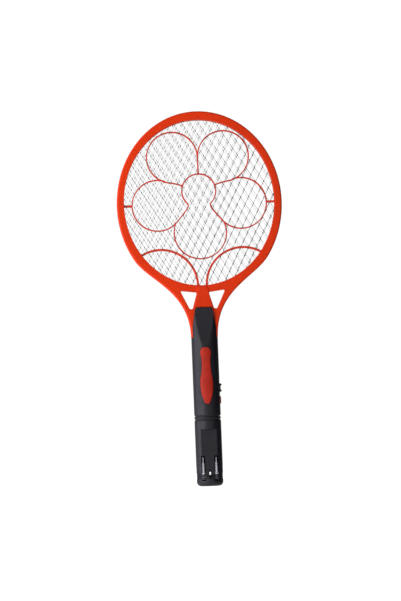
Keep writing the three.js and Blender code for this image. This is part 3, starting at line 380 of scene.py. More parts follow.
def finish_piece(obj, material, body=ROOT, replaces=()):
    obj.data.materials.clear()
    obj.data.materials.append(MATERIALS[material])
    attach(obj, body)
    if replaces:
        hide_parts(*replaces)
    return obj


def box_solid(name, low, high):
    xs, ys, zs = zip(low, high)
    vertices = [Vector((x, y, z)) for x in xs for y in ys for z in zs]
    faces = [(0, 1, 3, 2), (4, 6, 7, 5), (0, 4, 5, 1), (2, 3, 7, 6), (0, 2, 6, 4), (1, 5, 7, 3)]
    return mesh_object(name, vertices, faces)


def lofted(name, rings):
    """A closed solid through rings of points with the same count, capped flat at both ends."""
    count = len(rings[0])
    vertices = [point for ring in rings for point in ring]
    faces = []
    for row in range(0, len(vertices) - count, count):
        for i in range(count):
            j = (i + 1) % count
            faces.append((row + i, row + j, row + count + j, row + count + i))
    faces.append(tuple(range(count)))
    faces.append(tuple(range(len(vertices) - count, len(vertices))))
    return mesh_object(name, vertices, faces)


def round_angles(count, offset=0.0):
    return [2 * math.pi * (i + offset) / count for i in range(count)]


def turned(name, profile, sides, axis="z"):
    """A solid of revolution. The profile is (radius, place along the axis) pairs, both ends open."""
    rings = []
    for radius, along in profile:
        ring = []
        for angle in round_angles(sides):
            across = (radius * math.cos(angle), radius * math.sin(angle))
            point = (along, *across) if axis == "x" else (across[0], along, across[1])
            ring.append(Vector((*across, along) if axis == "z" else point))
        rings.append(ring)
    return lofted(name, rings)


def ellipse(centre, half_width, half_height, count, start=0.0, end=2 * math.pi):
    """Points of an ellipse arc in the front plane, as (x, z); a full turn leaves out its last point."""
    full = abs(end - start) > 2 * math.pi - 1e-6
    steps = count if full else count - 1
    points = []
    for i in range(count):
        angle = start + (end - start) * i / steps
        across = half_width * math.cos(angle)
        points.append(Vector((centre[0] + across, centre[1] + half_height * math.sin(angle))))
    return points


def bezier(p0, p1, p2, p3, count):
    points = []
    for i in range(count):
        t = i / (count - 1)
        s = 1 - t
        points.append(p0 * s**3 + p1 * 3 * s * s * t + p2 * 3 * s * t * t + p3 * t**3)
    return points


def rounded_corners(corners, radius, steps=6):
    """A polygon whose corners are rounded by a quadratic curve of about the given radius."""
    points = []
    for i, corner in enumerate(corners):
        before = (corners[i - 1] - corner).normalized()
        after = (corners[(i + 1) % len(corners)] - corner).normalized()
        half_angle = math.acos(max(-1, min(1, before.dot(after)))) / 2
        reach = radius / math.tan(half_angle)
        start = corner + before * reach
        end = corner + after * reach
        for k in range(steps + 1):
            t = k / steps
            points.append(start * (1 - t) ** 2 + corner * 2 * t * (1 - t) + end * t * t)
    return points


def subdivided(points, longest):
    """The same closed outline with its long edges split."""
    result = []
    for i, point in enumerate(points):
        following = points[(i + 1) % len(points)]
        pieces = max(1, math.ceil((following - point).length / longest))
        for k in range(pieces):
            result.append(point.lerp(following, k / pieces))
    return result


def grown(points, amount):
    """A closed outline moved outwards from the area it encloses, or inwards if amount is negative."""
    area = sum(a.x * b.y - b.x * a.y for a, b in zip(points, points[1:] + points[:1]))
    sign = 1 if area > 0 else -1
    result = []
    for i, point in enumerate(points):
        before = (point - points[i - 1]).normalized()
        after = (points[(i + 1) % len(points)] - point).normalized()
        normal = Vector((before.y + after.y, -before.x - after.x)).normalized() * sign
        lean = max(0.5, normal.dot(Vector((after.y, -after.x)) * sign))
        result.append(point + normal * amount / lean)
    return result


def slab(name, outlines):
    """A thick plate in the front plane. Each outline is (points, steps), the first one the outer
    edge and the others holes; steps are (outward shift, y) pairs from the back face to the front."""
    bm = bmesh.new()
    ends = {0: [], -1: []}
    for points, steps in outlines:
        rings = []
        for shift, y in steps:
            ring = grown(points, shift) if shift else points
            rings.append([bm.verts.new((p.x, y, p.y)) for p in ring])
        bridge(bm, rings)
        for end in ends:
            ring = rings[end]
            ends[end] += [bm.edges.get((ring[i - 1], ring[i])) for i in range(1, len(ring))]
            ends[end].append(bm.edges.get((ring[-1], ring[0])))
    for end, edges in ends.items():
        bmesh.ops.triangle_fill(bm, edges=edges, use_beauty=True, normal=(0, 1 if end == 0 else -1, 0))
    bmesh.ops.recalc_face_normals(bm, faces=bm.faces)
    return from_bmesh(name, bm)


def quarter_round(radius, depth, start, toward, steps=5):
    """(shift, y) pairs of a rounded edge: from full size at y = start, inwards by radius as y goes
    depth further. toward is -1 when the face lies at -Y."""
    pairs = []
    for i in range(steps + 1):
        angle = math.pi / 2 * i / steps
        pairs.append((-radius * (1 - math.cos(angle)), start + toward * depth * math.sin(angle)))
    return pairs


# ---- Head frame ----

THROAT_ANGLE = math.radians(36)
THROAT_LEAD_IN = 35 * MM
THROAT_CURVE = 65 * MM
STEM_HALF = 14 * MM
STEM_LENGTH = 28 * MM
WINDOW_TOP = OPENING_FOOT - 9.6 * MM
WINDOW_HEIGHT = 22.6 * MM
WINDOW_INNER = 8 * MM
WINDOW_TOP_WIDTH = 23.2 * MM
WINDOW_TOP_RISE = 3 * MM
WINDOW_CORNER = 2 * MM
WINDOW_FOOT_SHIFT = 6.6 * MM
WINDOW_FOOT_WIDTH = 4.4 * MM
TONGUE_GAP = 0.3 * MM
TONGUE_CORNER = 1.2 * MM
TONGUE_EDGE = 0.8 * MM
OUTER_ROUND = 2.6 * MM
INNER_ROUND = 0.7 * MM
BAY_HALF = 5.5 * MM  # where the net terminals lie, and the channels of their leads
CHANNEL_X = 3 * MM
CHANNEL_HALF = 1.5 * MM


def mirror(points):
    return [Vector((-p.x, p.y)) for p in points]


def frame_outline():
    cos, sin = math.cos(THROAT_ANGLE), math.sin(THROAT_ANGLE)
    start = Vector((OVAL_HALF_WIDTH * cos, OVAL_CENTRE - OVAL_HALF_HEIGHT * sin))
    tangent = Vector((-OVAL_HALF_WIDTH * sin, -OVAL_HALF_HEIGHT * cos))
    lead_in = start + tangent.normalized() * THROAT_LEAD_IN
    foot = Vector((HANDLE_HALF_WIDTH, SHOULDER))
    above = foot + Vector((0, THROAT_CURVE))
    right = bezier(start, lead_in, above, foot, 60)
    centre = (0, OVAL_CENTRE)
    ends = (-THROAT_ANGLE, math.pi + THROAT_ANGLE)
    arc = ellipse(centre, OVAL_HALF_WIDTH, OVAL_HALF_HEIGHT, 170, *ends)
    stem_half = [Vector((STEM_HALF, SHOULDER - STEM_LENGTH)), Vector((STEM_HALF, SHOULDER))]
    stem = [*mirror(stem_half[::-1]), *stem_half]
    return [*arc, *mirror(right)[1:], *stem, *right[:0:-1]]


def opening_outline():
    return ellipse((0, OPENING_CENTRE), OPENING_HALF_WIDTH, OPENING_HALF_HEIGHT, 180)


def window_outline(side):
    foot = WINDOW_TOP - WINDOW_HEIGHT
    corners = [
        Vector((WINDOW_INNER, WINDOW_TOP)),
        Vector((WINDOW_INNER + WINDOW_FOOT_SHIFT, foot)),
        Vector((WINDOW_INNER + WINDOW_FOOT_SHIFT + WINDOW_FOOT_WIDTH, foot)),
        Vector((WINDOW_INNER + WINDOW_TOP_WIDTH, WINDOW_TOP + WINDOW_TOP_RISE)),
    ]
    points = subdivided(rounded_corners(corners, WINDOW_CORNER), 3 * MM)
    return points if side > 0 else mirror(points)


def tongue_solid(front, back, toward):
    """The raised tongue between the windows."""
    foot = HANDLE_TOP + TONGUE_GAP
    top = OPENING_FOOT - 1.9 * MM
    low_half = WINDOW_INNER - 1.0 * MM + WINDOW_FOOT_SHIFT * (WINDOW_TOP - foot) / WINDOW_HEIGHT
    high_half = WINDOW_INNER - 2.0 * MM
    right = [Vector((low_half, foot)), Vector((high_half, top))]
    corners = [*mirror(right[:1]), *right, *mirror(right[1:])]
    outline = subdivided(rounded_corners(corners, TONGUE_CORNER), 3 * MM)
    edge = TONGUE_EDGE
    steps = [(0, back), *quarter_round(edge, edge, front - toward * edge, toward, 4)]
    return slab("tongue", [(outline, steps)])


def frame_half(name, toward):
    """One half of the head frame. toward is -1 for the front half and +1 for the rear half."""
    seam = toward * SEAM_Y
    face = toward * FACE_Y
    pocket = toward * POCKET_DEPTH
    seam_edge = 0.25 * MM
    outer_steps = [(-seam_edge, seam), (0, seam + toward * seam_edge)]
    outer_depth = OUTER_ROUND * 0.8
    outer_steps += quarter_round(OUTER_ROUND, outer_depth, face - toward * OUTER_ROUND * 0.8, toward, 7)
    inner = quarter_round(INNER_ROUND, INNER_ROUND, face - toward * INNER_ROUND, toward)
    lip = [(-shift, y) for shift, y in inner]
    seat = NET_SEAT + 0.5 * MM
    pocket_edge = 0.2 * MM
    opening_steps = [(seat, seam), (seat, pocket), (pocket_edge, pocket)]
    opening_steps += [(0, pocket + toward * pocket_edge), *lip]
    window_steps = [(0, seam), *lip]
    outlines = [
        (frame_outline(), outer_steps),
        (opening_outline(), opening_steps),
        (window_outline(1), window_steps),
        (window_outline(-1), window_steps),
    ]
    half = slab(name, outlines)
    if toward < 0:
        combine(half, [tongue_solid(FRAME_LOW.y, face + 0.5 * MM, toward)], "UNION")
    bay_top = NET_LOW.z - 0.3 * MM
    bay_low = (-BAY_HALF, -POCKET_DEPTH, bay_top - 8 * MM)
    cutters = [box_solid("bay", bay_low, (BAY_HALF, POCKET_DEPTH, bay_top + MM))]
    for side in (-1, 1):
        x = side * CHANNEL_X
        low = (x - CHANNEL_HALF, -CHANNEL_HALF, SHOULDER - STEM_LENGTH - MM)
        cutters.append(box_solid("channel", low, (x + CHANNEL_HALF, CHANNEL_HALF, bay_top - 7 * MM)))
    combine(half, cutters, "DIFFERENCE")
    weighted(smooth(half, 40))
    return half


def build_head_frame():
    for place, toward in SIDES:
        half = frame_half("frame_" + place, toward)
        finish_piece(half, "frame_plastic", replaces=["head_frame_" + place])


# ---- Rib grids ----

RIB_WIDTH = 1.6 * MM
LOW_RIB_WIDTH = 2.9 * MM
RIB_ROUND = 0.5 * MM


def rib_arc(x, z, radius, start, end, count):
    centre = (x * MM, OVAL_CENTRE + z * MM)
    return ellipse(centre, radius * MM, radius * MM, count, math.radians(start), math.radians(end))


def rib_lines():
    """Right-hand half of the flower pattern: tangent petals round a double circle."""

    def at(x, z):
        return Vector((x * MM, OVAL_CENTRE + z * MM))

    upper = rib_arc(35.2, 65, 35, 180, -85, 60)
    side = rib_arc(57.5, -0.5, 35, 109, -142, 56)
    lower = rib_arc(56.5, -112, 50.5, 183, 50, 40)
    head = rib_arc(0, 18, 23.4, 90, -48, 32)
    body = rib_arc(0, -39.5, 36, 22, -90, 30)
    waist = bezier(head[-1], at(13.8, -4.2), at(19.5, -9.5), side[-1], 14)
    tail = bezier(upper[-1], at(33, 29.2), at(26, 27.5), at(21.6, 25.2), 10)
    thin = [(line, RIB_WIDTH) for line in (head, body, waist, tail)]
    return [(upper, RIB_WIDTH), (side, RIB_WIDTH), (lower, LOW_RIB_WIDTH), *thin]


def rib_solid(points, width, front, back):
    """A bar with softly rounded long edges along a line of points in the front plane."""
    half = width / 2
    section = []
    for sx, sy in ((1, 1), (-1, 1), (-1, -1), (1, -1)):
        for turn in range(4):
            angle = math.atan2(sy, sx) - math.pi / 4 + math.pi / 6 * turn
            across = sx * (half - RIB_ROUND) + RIB_ROUND * math.cos(angle)
            y = front + RIB_ROUND if sy < 0 else back - RIB_ROUND
            section.append((across, y + RIB_ROUND * math.sin(angle)))
    rings = []
    for i, point in enumerate(points):
        before = points[max(i - 1, 0)]
        after = points[min(i + 1, len(points) - 1)]
        along = (after - before).normalized()
        side = Vector((-along.y, along.x))
        rings.append([Vector((point.x + side.x * a, y, point.y + side.y * a)) for a, y in section])
    return lofted("rib", rings)


def spacer_grid(name, front, back):
    edge = 0.3 * MM
    inner_steps = [(edge, back), (0, back - edge), (0, front + edge), (edge, front)]
    outer_edge = grown(opening_outline(), NET_SEAT)
    ring = slab(name, [(outer_edge, [(0, back), (0, front)]), (opening_outline(), inner_steps)])
    bars = []
    for line, width in rib_lines():
        bars.append(rib_solid(line, width, front, back))
        bars.append(rib_solid(mirror(line), width, front, back))
    stem = [Vector((0, OVAL_CENTRE + z * MM)) for z in (70, 60, 50, 40.5)]
    bars.append(rib_solid(stem, RIB_WIDTH * 1.15, front, back))
    for side in (-1, 1):
        reach = [Vector((side * x, OVAL_CENTRE)) for x in (92.2 * MM, OPENING_HALF_WIDTH + 2 * MM)]
        bars.append(rib_solid(reach, LOW_RIB_WIDTH, front, back))
    combine(ring, bars, "UNION")
    through = [(0, back + MM), (0, front - MM)]
    outside = slab("outside", [(grown(opening_outline(), 40 * MM), through), (outer_edge, through)])
    combine(ring, [outside], "DIFFERENCE")
    return smooth(ring, 40)


def build_spacers():
    front = spacer_grid("rib_grid_front", SPACER_LOW.y, SPACER_HIGH.y)
    rear = add_object("rib_grid_rear", front.data.copy())
    rear.data.transform(Matrix.Translation((0, REAR_SPACER_LOW.y - SPACER_LOW.y, 0)))
    finish_piece(front, "spacer_plastic", replaces=["front_spacer"])
    finish_piece(rear, "spacer_plastic", replaces=["rear_spacer"])


# ---- Nets ----

WIRE_RADIUS = 0.15 * MM
WIRE_SIDES = 5
WIRE_SWAY = 0.12 * MM
WIRE_PITCH = 9.7 * MM
WIRE_LEAN = math.radians(29.7)
NET_SKEW = math.radians(2.5)
NODE_WIDTH = 0.52 * MM
NODE_HEIGHT = 1.2 * MM
NET_EDGE = 0.6 * MM
SHORTEST_WIRE = 4 * MM
NET_WIRES = {  # (pitch, phase) of the rising and the falling wires
    "front": ((WIRE_PITCH, 0), (WIRE_PITCH, 0)),
    "centre": ((WIRE_PITCH * 1.03, -2.0 * MM), (WIRE_PITCH * 1.02, 1.8 * MM)),
    "rear": ((WIRE_PITCH * 0.985, 1.0 * MM), (WIRE_PITCH * 0.99, 4.2 * MM)),
}


def wire_family(lean, pitch, phase, reach):
    """Straight wires of one net: (point on the wire, direction) for each that crosses the oval."""
    direction = Vector((math.sin(lean), math.cos(lean)))
    across = Vector((direction.y, -direction.x))
    count = int(reach / pitch) + 2
    return [(across * (i * pitch + phase), direction) for i in range(-count, count + 1)]


def clipped(point, direction, half_width, half_height):
    """Where a line enters and leaves an ellipse about the origin, as distances along it."""
    a = (direction.x / half_width) ** 2 + (direction.y / half_height) ** 2
    b = 2 * (point.x * direction.x / half_width**2 + point.y * direction.y / half_height**2)
    c = (point.x / half_width) ** 2 + (point.y / half_height) ** 2 - 1
    inside = b * b - 4 * a * c
    if inside <= 0:
        return None
    root = math.sqrt(inside)
    return (-b - root) / (2 * a), (-b + root) / (2 * a)


def add_wire(bm, start, end, middle, sway):
    along = (end - start).normalized()
    side = Vector((along.y, -along.x))
    count = max(2, int((end - start).length / (WIRE_PITCH * 0.58)))
    rings = []
    for i in range(count + 1):
        point = start.lerp(end, i / count)
        y = middle + sway * (1 if i % 2 else -1)
        ring = []
        for angle in round_angles(WIRE_SIDES):
            shift = side * (WIRE_RADIUS * math.cos(angle))
            place = (point.x + shift.x, y + WIRE_RADIUS * math.sin(angle), OPENING_CENTRE + point.y + shift.y)
            ring.append(bm.verts.new(place))
        rings.append(ring)
    bridge(bm, rings)
    bm.faces.new(rings[0])
    bm.faces.new(reversed(rings[-1]))


def crossing(first, second):
    (p, d), (q, e) = first, second
    turn = d.x * e.y - d.y * e.x
    gap = q - p
    return p + d * ((gap.x * e.y - gap.y * e.x) / turn)


def add_node(bm, centre, middle):
    """The pressed lozenge where two wires join: longer than wide, and thinner than both."""
    rows = [(-1.0, 0.0), (-0.6, 0.8), (0.0, 1.0), (0.6, 0.8), (1.0, 0.0)]
    rings = []
    for along, wide in rows:
        z = OPENING_CENTRE + centre.y + along * NODE_HEIGHT
        if wide == 0:
            rings.append([bm.verts.new((centre.x, middle, z))])
            continue
        ring = []
        for angle in round_angles(6):
            x = centre.x + NODE_WIDTH * wide * math.cos(angle)
            ring.append(bm.verts.new((x, middle + 0.34 * MM * wide * math.sin(angle), z)))
        rings.append(ring)
    for lower, upper in zip(rings, rings[1:]):
        for k in range(6):
            j = (k + 1) % 6
            if len(lower) == 1:
                bm.faces.new((lower[0], upper[j], upper[k]))
            elif len(upper) == 1:
                bm.faces.new((lower[k], lower[j], upper[0]))
            else:
                bm.faces.new((lower[k], lower[j], upper[j], upper[k]))


def build_net(name, node, middle, rising, falling):
    """rising and falling are (pitch, phase) of the two wire families."""
    half_width = OPENING_HALF_WIDTH + NET_SEAT - NET_EDGE
    half_height = OPENING_HALF_HEIGHT + NET_SEAT - NET_EDGE
    right = wire_family(WIRE_LEAN - NET_SKEW, *rising, half_height)
    left = wire_family(-WIRE_LEAN - NET_SKEW, *falling, half_height)
    wires = bmesh.new()
    for family, sway in ((right, WIRE_SWAY), (left, -WIRE_SWAY)):
        for point, direction in family:
            span = clipped(point, direction, half_width, half_height)
            if span and span[1] - span[0] > SHORTEST_WIRE:
                add_wire(wires, point + direction * span[0], point + direction * span[1], middle, sway)
    obj = from_bmesh(name, wires)
    tidy_normals(obj)
    obj.data.shade_smooth()
    finish_piece(obj, "net_steel", replaces=[node])
    nodes = bmesh.new()
    for first in right:
        for second in left:
            place = crossing(first, second)
            if (place.x / half_width) ** 2 + (place.y / half_height) ** 2 < 0.97:
                add_node(nodes, place, middle)
    joints = from_bmesh(name + "_joints", nodes)
    tidy_normals(joints)
    joints.data.shade_smooth()
    finish_piece(joints, "weld_metal")


def build_nets():
    for place, (rising, falling) in NET_WIRES.items():
        low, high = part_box(place + "_net")
        build_net("wire_net_" + place, place + "_net", (low.y + high.y) / 2, rising, falling)


# ---- Handle form ----
# The handle is worked out in millimetres, as heights above its flat end, and placed by solid_point.

HALF_WIDTH = HANDLE_HALF_WIDTH / MM
HALF_DEPTH = 17.0
LENGTH = 245.0
END_RADIUS = 6.0
RING_GROOVES = [(91.2, 1.5, 1.1), (95.8, 1.5, 1.1), (16.6, 0.8, 0.9), (13.8, 0.8, 0.9), (11.0, 0.8, 0.8)]
NECK_FOOT = 204.2
NECK_TOP_HALF = 12.1
NECK_SHARES = [(204.2, 0.0), (212.8, 0.14), (221.5, 0.42), (235.9, 0.8), (241.5, 1.0)]
NECK_CORNER = 3.5
FACET_FOOT = 190.7
FACET_SLOPE = (17.0 - 10.7) / (LENGTH - FACET_FOOT)
PANEL_FOOT = 15.7
PANEL_TOP = 77.7
PANEL_DEPTH = 13.5
PANEL_RAMP = 0.5
TOP_ROUND = 0.9
EDGE_BLEND = 0.6
WALL = 2.2
THROAT_HALF = 7.8
NO_LIMIT = 99.0
GROOVES_TOP = 99.0
WIDEST_CORNER = math.radians(86)
LEAST_FLANK = math.radians(8)
LEAST_CORNER = math.radians(3)
SIDE_COLUMNS = 8
CORNER_COLUMNS = 16
FRONT_COLUMNS = 18


def solid_point(x, y, z):
    return Vector((x * MM, y * MM, height(z)))


def stepped(table, value):
    """Straight lines between the (place, value) pairs of a table."""
    for (a, low), (b, high) in zip(table, table[1:]):
        if value <= b:
            return low + (high - low) * (value - a) / (b - a)
    return table[-1][1]


def soft_min(a, b, blend):
    reach = max(blend - abs(a - b), 0) / blend
    return min(a, b) - reach * reach * blend / 4


def ramp_up(value, start, length):
    return max(0.0, min(1.0, (value - start) / length))


def bar_half_width(z, plain):
    if z < END_RADIUS:
        return HALF_WIDTH - END_RADIUS + math.sqrt(END_RADIUS**2 - (END_RADIUS - z) ** 2)
    if plain:
        return HALF_WIDTH
    cut = 0
    for middle, half, depth in RING_GROOVES:
        share = abs(z - middle) / half
        if share < 1:
            cut = max(cut, depth * (1 - share * share) ** 1.5)
    return HALF_WIDTH - cut


def neck_half(z):
    if z < NECK_FOOT:
        return NO_LIMIT
    half = HALF_WIDTH + stepped(NECK_SHARES, z) * (NECK_TOP_HALF - HALF_WIDTH)
    over = max(0.0, z - (LENGTH - NECK_CORNER))
    return half - NECK_CORNER + math.sqrt(max(NECK_CORNER**2 - over * over, 0.04))


def flat_depth(z, plain):
    """How far the front's flat surfaces, the lower panel and the upper facet, let the form reach."""
    facet = HALF_DEPTH - FACET_SLOPE * (z - FACET_FOOT) if z > FACET_FOOT else NO_LIMIT
    if plain:
        panel = PANEL_DEPTH if z < PANEL_TOP else NO_LIMIT
        return min(facet, panel)
    above_foot = ramp_up(z, PANEL_FOOT - PANEL_RAMP, PANEL_RAMP)
    inside = min(above_foot, ramp_up(PANEL_TOP + PANEL_RAMP - z, 0, PANEL_RAMP))
    beyond = HALF_DEPTH + 0.4
    panel = beyond - (beyond - PANEL_DEPTH) * inside if inside > 0 else NO_LIMIT
    return min(facet, panel)


def corner_angles(z, inset):
    """Angles from the side where the neck's flat ends and where the front's flat begins."""
    a = HALF_WIDTH - inset
    b = HALF_DEPTH - inset
    neck = min(neck_half(z) - inset, a)
    side = math.atan2(b * math.sqrt(max(1 - (neck / a) ** 2, 0)), neck)
    facet = min(HALF_DEPTH - FACET_SLOPE * (z - FACET_FOOT) - inset, b)
    front = math.atan2(facet, a * math.sqrt(max(1 - (facet / b) ** 2, 0)))
    panel_corner = math.atan2(PANEL_DEPTH, HALF_WIDTH * math.sqrt(1 - (PANEL_DEPTH / HALF_DEPTH) ** 2))
    if z < GROOVES_TOP:
        front = panel_corner
    elif z < FACET_FOOT:
        share = (z - GROOVES_TOP) / (FACET_FOOT - GROOVES_TOP)
        front = panel_corner + (WIDEST_CORNER - panel_corner) * share
    side = max(side, LEAST_FLANK)
    front = min(front, WIDEST_CORNER)
    if side > front - LEAST_CORNER:
        corner = math.atan2(facet, neck)
        side = corner - LEAST_CORNER / 2
        front = corner + LEAST_CORNER / 2
    return side, front


def section_angles(z, inset, start):
    side, front = corner_angles(z, inset)
    rise = [math.sin(math.pi / 2 * i / SIDE_COLUMNS) for i in range(SIDE_COLUMNS)]
    ease = [(1 - math.cos(math.pi * i / CORNER_COLUMNS)) / 2 for i in range(CORNER_COLUMNS)]
    settle = [1 - math.cos(math.pi / 2 * i / FRONT_COLUMNS) for i in range(FRONT_COLUMNS + 1)]
    angles = [start + (side - start) * share for share in rise]
    angles += [side + (front - side) * share for share in ease]
    return angles + [front + (math.pi / 2 - front) * share for share in settle]


def section_radius(angle, z, inset, plain):
    a = max(bar_half_width(z, plain) - inset, 0.5)
    b = a * HALF_DEPTH / HALF_WIDTH
    round_reach = 1 / math.hypot(math.cos(angle) / a, math.sin(angle) / b)
    neck_reach = (neck_half(z) - inset) / max(math.cos(angle), 1e-6)
    flat_reach = (flat_depth(z, plain) - inset) / max(math.sin(angle), 1e-6)
    reach = soft_min(round_reach, neck_reach, EDGE_BLEND)
    reach = soft_min(reach, flat_reach, EDGE_BLEND)
    over = max(0.0, z - (LENGTH - TOP_ROUND)) / TOP_ROUND
    return reach - TOP_ROUND * (1 - math.sqrt(max(1 - over * over, 0)))


def outer_heights():
    """Section heights: close together where the form changes, wide apart where it doesn't."""
    heights = [END_RADIUS * (1 - math.cos(math.pi / 2 * i / 10)) for i in range(10)]
    spans = [
        (6.0, 9.8, 0.95), (9.8, 17.8, 0.2), (17.8, 19.0, 0.6), (19.0, 76.5, 3), (76.5, 79, 0.125),
        (79, 90, 1.4), (90, 98, 0.2), (98, 189, 3), (189, 200, 0.5), (200, 241, 1.25),
        (241, LENGTH - TOP_ROUND, 0.31),
    ]
    for start, end, step in spans:
        count = round((end - start) / step)
        heights += [start + (end - start) * i / count for i in range(count)]
    heights += [LENGTH - TOP_ROUND + TOP_ROUND * math.sin(math.pi / 2 * i / 5) for i in range(6)]
    return heights


def half_bar(name, side, heights, inset, plain, seam):
    """Half of the handle's form, from the parting plane outwards. side is -1 for the front half."""
    bevel = 0.22
    rings = []
    for z in heights:
        start = math.asin((seam + 1.0) / HALF_WIDTH)
        quarter = [(a, section_radius(a, z, inset, plain)) for a in section_angles(z, inset, start)]
        flank = section_radius(0, z, inset, plain)
        right = [(flank - bevel, seam), (flank, seam + bevel)] if not plain else [(flank, seam)]
        right += [(r * math.cos(a), r * math.sin(a)) for a, r in quarter]
        left = [(-x, y) for x, y in reversed(right[:-1])]
        rings.append([solid_point(x, side * y, z) for x, y in right + left])
    return lofted(name, rings)


def cylinder_y(name, x, z, diameter, low, high, sides=32):
    """A round bar along y, in millimetres."""
    bar = turned(name, [(diameter / 2 * MM, low * MM), (diameter / 2 * MM, high * MM)], sides, "y")
    bar.data.transform(Matrix.Translation((x * MM, 0, height(z))))
    return bar


def block(name, low, high):
    return box_solid(name, solid_point(*low), solid_point(*high))


def plate_points(pairs):
    return [Vector((x * MM, height(z))) for x, z in pairs]


# ---- Grip insert and its recess ----

GRIP_FOOT = 112.6
GRIP_LENGTH = 77.4
GRIP_STATIONS = [
    (5.0, 0.075), (7.56, 0.18), (8.9, 0.36), (8.01, 0.47), (6.6, 0.57), (5.9, 0.7), (6.14, 0.8), (7.3, 0.92),
]
GRIP_RISE = 0.55
GRIP_SINK = 1.0
GRIP_MARGIN = 0.35
GRIP_EDGE = 0.8  # how wide the insert's rounded edge is
GRIP_DIP = 0.25  # how far below the handle's surface it starts


def smooth_curve(points, per_span):
    """Catmull-Rom curve through the points."""
    padded = [points[0] * 2 - points[1], *points, points[-1] * 2 - points[-2]]
    result = []
    for i in range(1, len(padded) - 2):
        p0, p1, p2, p3 = padded[i - 1 : i + 3]
        for k in range(per_span):
            t = k / per_span
            a = p1 * 2 + (p2 - p0) * t
            b = (p0 * 2 - p1 * 5 + p2 * 4 - p3) * t * t
            c = (p1 * 3 - p0 - p2 * 3 + p3) * t**3
            result.append((a + b + c) / 2)
    result.append(points[-1])
    return result


def grip_side():
    """Right-hand outline of the insert from its foot to its tip, as (half width, height)."""
    stations = [Vector((half, GRIP_FOOT + share * GRIP_LENGTH)) for half, share in GRIP_STATIONS]
    foot = [Vector((0, GRIP_FOOT)), Vector((3.1, GRIP_FOOT + 1.1))]
    tip = [Vector((4.6, GRIP_FOOT + GRIP_LENGTH - 0.8)), Vector((0, GRIP_FOOT + GRIP_LENGTH))]
    return smooth_curve([*foot, *stations, *tip], 8)


def bar_front(x, inset):
    """Depth of the plain bar's front at x."""
    return (HALF_DEPTH - inset) * math.sqrt(max(1 - (x / (HALF_WIDTH - inset)) ** 2, 0))


def grip_patch(name, margin, front_depth, back_depth, columns=24):
    """A closed patch that fills the insert's outline. The depths are functions of x and of the
    distance from the outline, both in millimetres."""
    side = grip_side()
    bm = bmesh.new()
    fronts = []
    backs = []
    for i, point in enumerate(side):
        before = side[max(i - 1, 0)]
        after = side[min(i + 1, len(side) - 1)]
        along = (after - before).normalized()
        half = max(point.x + margin * along.y, 0)
        z = point.y - margin * along.x
        if point.x == 0:
            half = 0
            z = point.y + (margin if i else -margin)
        front_row = []
        back_row = []
        for k in range(columns + 1):
            share = -math.cos(math.pi * k / columns)
            x = share * half
            edge = half * (1 - abs(share))
            end = min(z - GRIP_FOOT, GRIP_FOOT + GRIP_LENGTH - z)
            edge = min(edge, max(end, 0))
            front_row.append(bm.verts.new(solid_point(x, -front_depth(x, edge), z)))
            back_row.append(bm.verts.new(solid_point(x, -back_depth(x, edge), z)))
        fronts.append(front_row)
        backs.append(back_row)
    for i in range(len(side) - 1):
        for k in range(columns):
            bm.faces.new((fronts[i][k], fronts[i][k + 1], fronts[i + 1][k + 1], fronts[i + 1][k]))
            bm.faces.new((backs[i][k], backs[i + 1][k], backs[i + 1][k + 1], backs[i][k + 1]))
        bm.faces.new((fronts[i][0], fronts[i + 1][0], backs[i + 1][0], backs[i][0]))
        bm.faces.new((fronts[i][columns], backs[i][columns], backs[i + 1][columns], fronts[i + 1][columns]))
    bmesh.ops.remove_doubles(bm, verts=bm.verts, dist=1e-6)
    bmesh.ops.dissolve_degenerate(bm, edges=bm.edges, dist=1e-7)
    bmesh.ops.recalc_face_normals(bm, faces=bm.faces)
    return from_bmesh(name, bm)


def insert_front(x, edge):
    share = min(edge / GRIP_EDGE, 1)
    return bar_front(x, 0) - GRIP_DIP + (GRIP_RISE + GRIP_DIP) * math.sqrt(1 - (1 - share) ** 2)


def build_grip_insert():
    insert = grip_patch("grip_insert_skin", 0, insert_front, lambda x, edge: bar_front(x, GRIP_SINK))
    smooth(insert, 50)
    finish_piece(insert, "grip_rubber", replaces=["grip_insert"])


# ---- Handle shells ----

SCREWS = {
    "handle_screw_1": (0, 46), "handle_screw_2": (0, 101), "handle_screw_3": (0, 171),
    "throat_screw_left": (-8.5, 226), "throat_screw_right": (8.5, 226),
}
PLUG_X = 8.9
SLOT_HALF = 2.7
SLOT_FOOT = 7.4
SLOT_TOP = 41.8
SLOT_FLOOR = -8.8
LED_HEIGHT = 17.65
BEZEL_HALF_WIDTH = 2.1
BEZEL_ABOVE = 4.7
BEZEL_BELOW = 6.6
BEZEL_TAPER = 0.35
GAP = 0.3
SLIDE_HOLE = (127.9, 144.5)
SLIDE_HOLE_HALF = 2.8
BUTTON_HEIGHT = 117.5
BUTTON_HOLE_HALF = 3.8
BUTTON_HOLE_STRAIGHT = 1.75
HOLE_START = 10
HOLE_END = 30
POST_DIAMETER = 6.6
SCREW_HOLE_DIAMETER = 3.5
SEAT_DIAMETER = 6.0
HOLLOW_HEIGHTS = [3.2, 4.2, 6.5, 20, 77.6, 77.8, 120, 190, 199, 204, 209, 215, 222, 230, 241, 242.4]


def screw_seat(node):
    """Where the screw's head bears on the rear shell, as a depth in millimetres."""
    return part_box(node)[1].y / MM - 2.0


def slot_outline(x):
    left, right = x - SLOT_HALF, x + SLOT_HALF
    corners = plate_points([(left, SLOT_FOOT), (right, SLOT_FOOT), (right, SLOT_TOP), (left, SLOT_TOP)])
    foot = rounded_corners(corners, 0.6 * MM)
    top = rounded_corners(corners, 2.0 * MM)
    half = len(top) // 2
    return foot[:half] + top[half:]


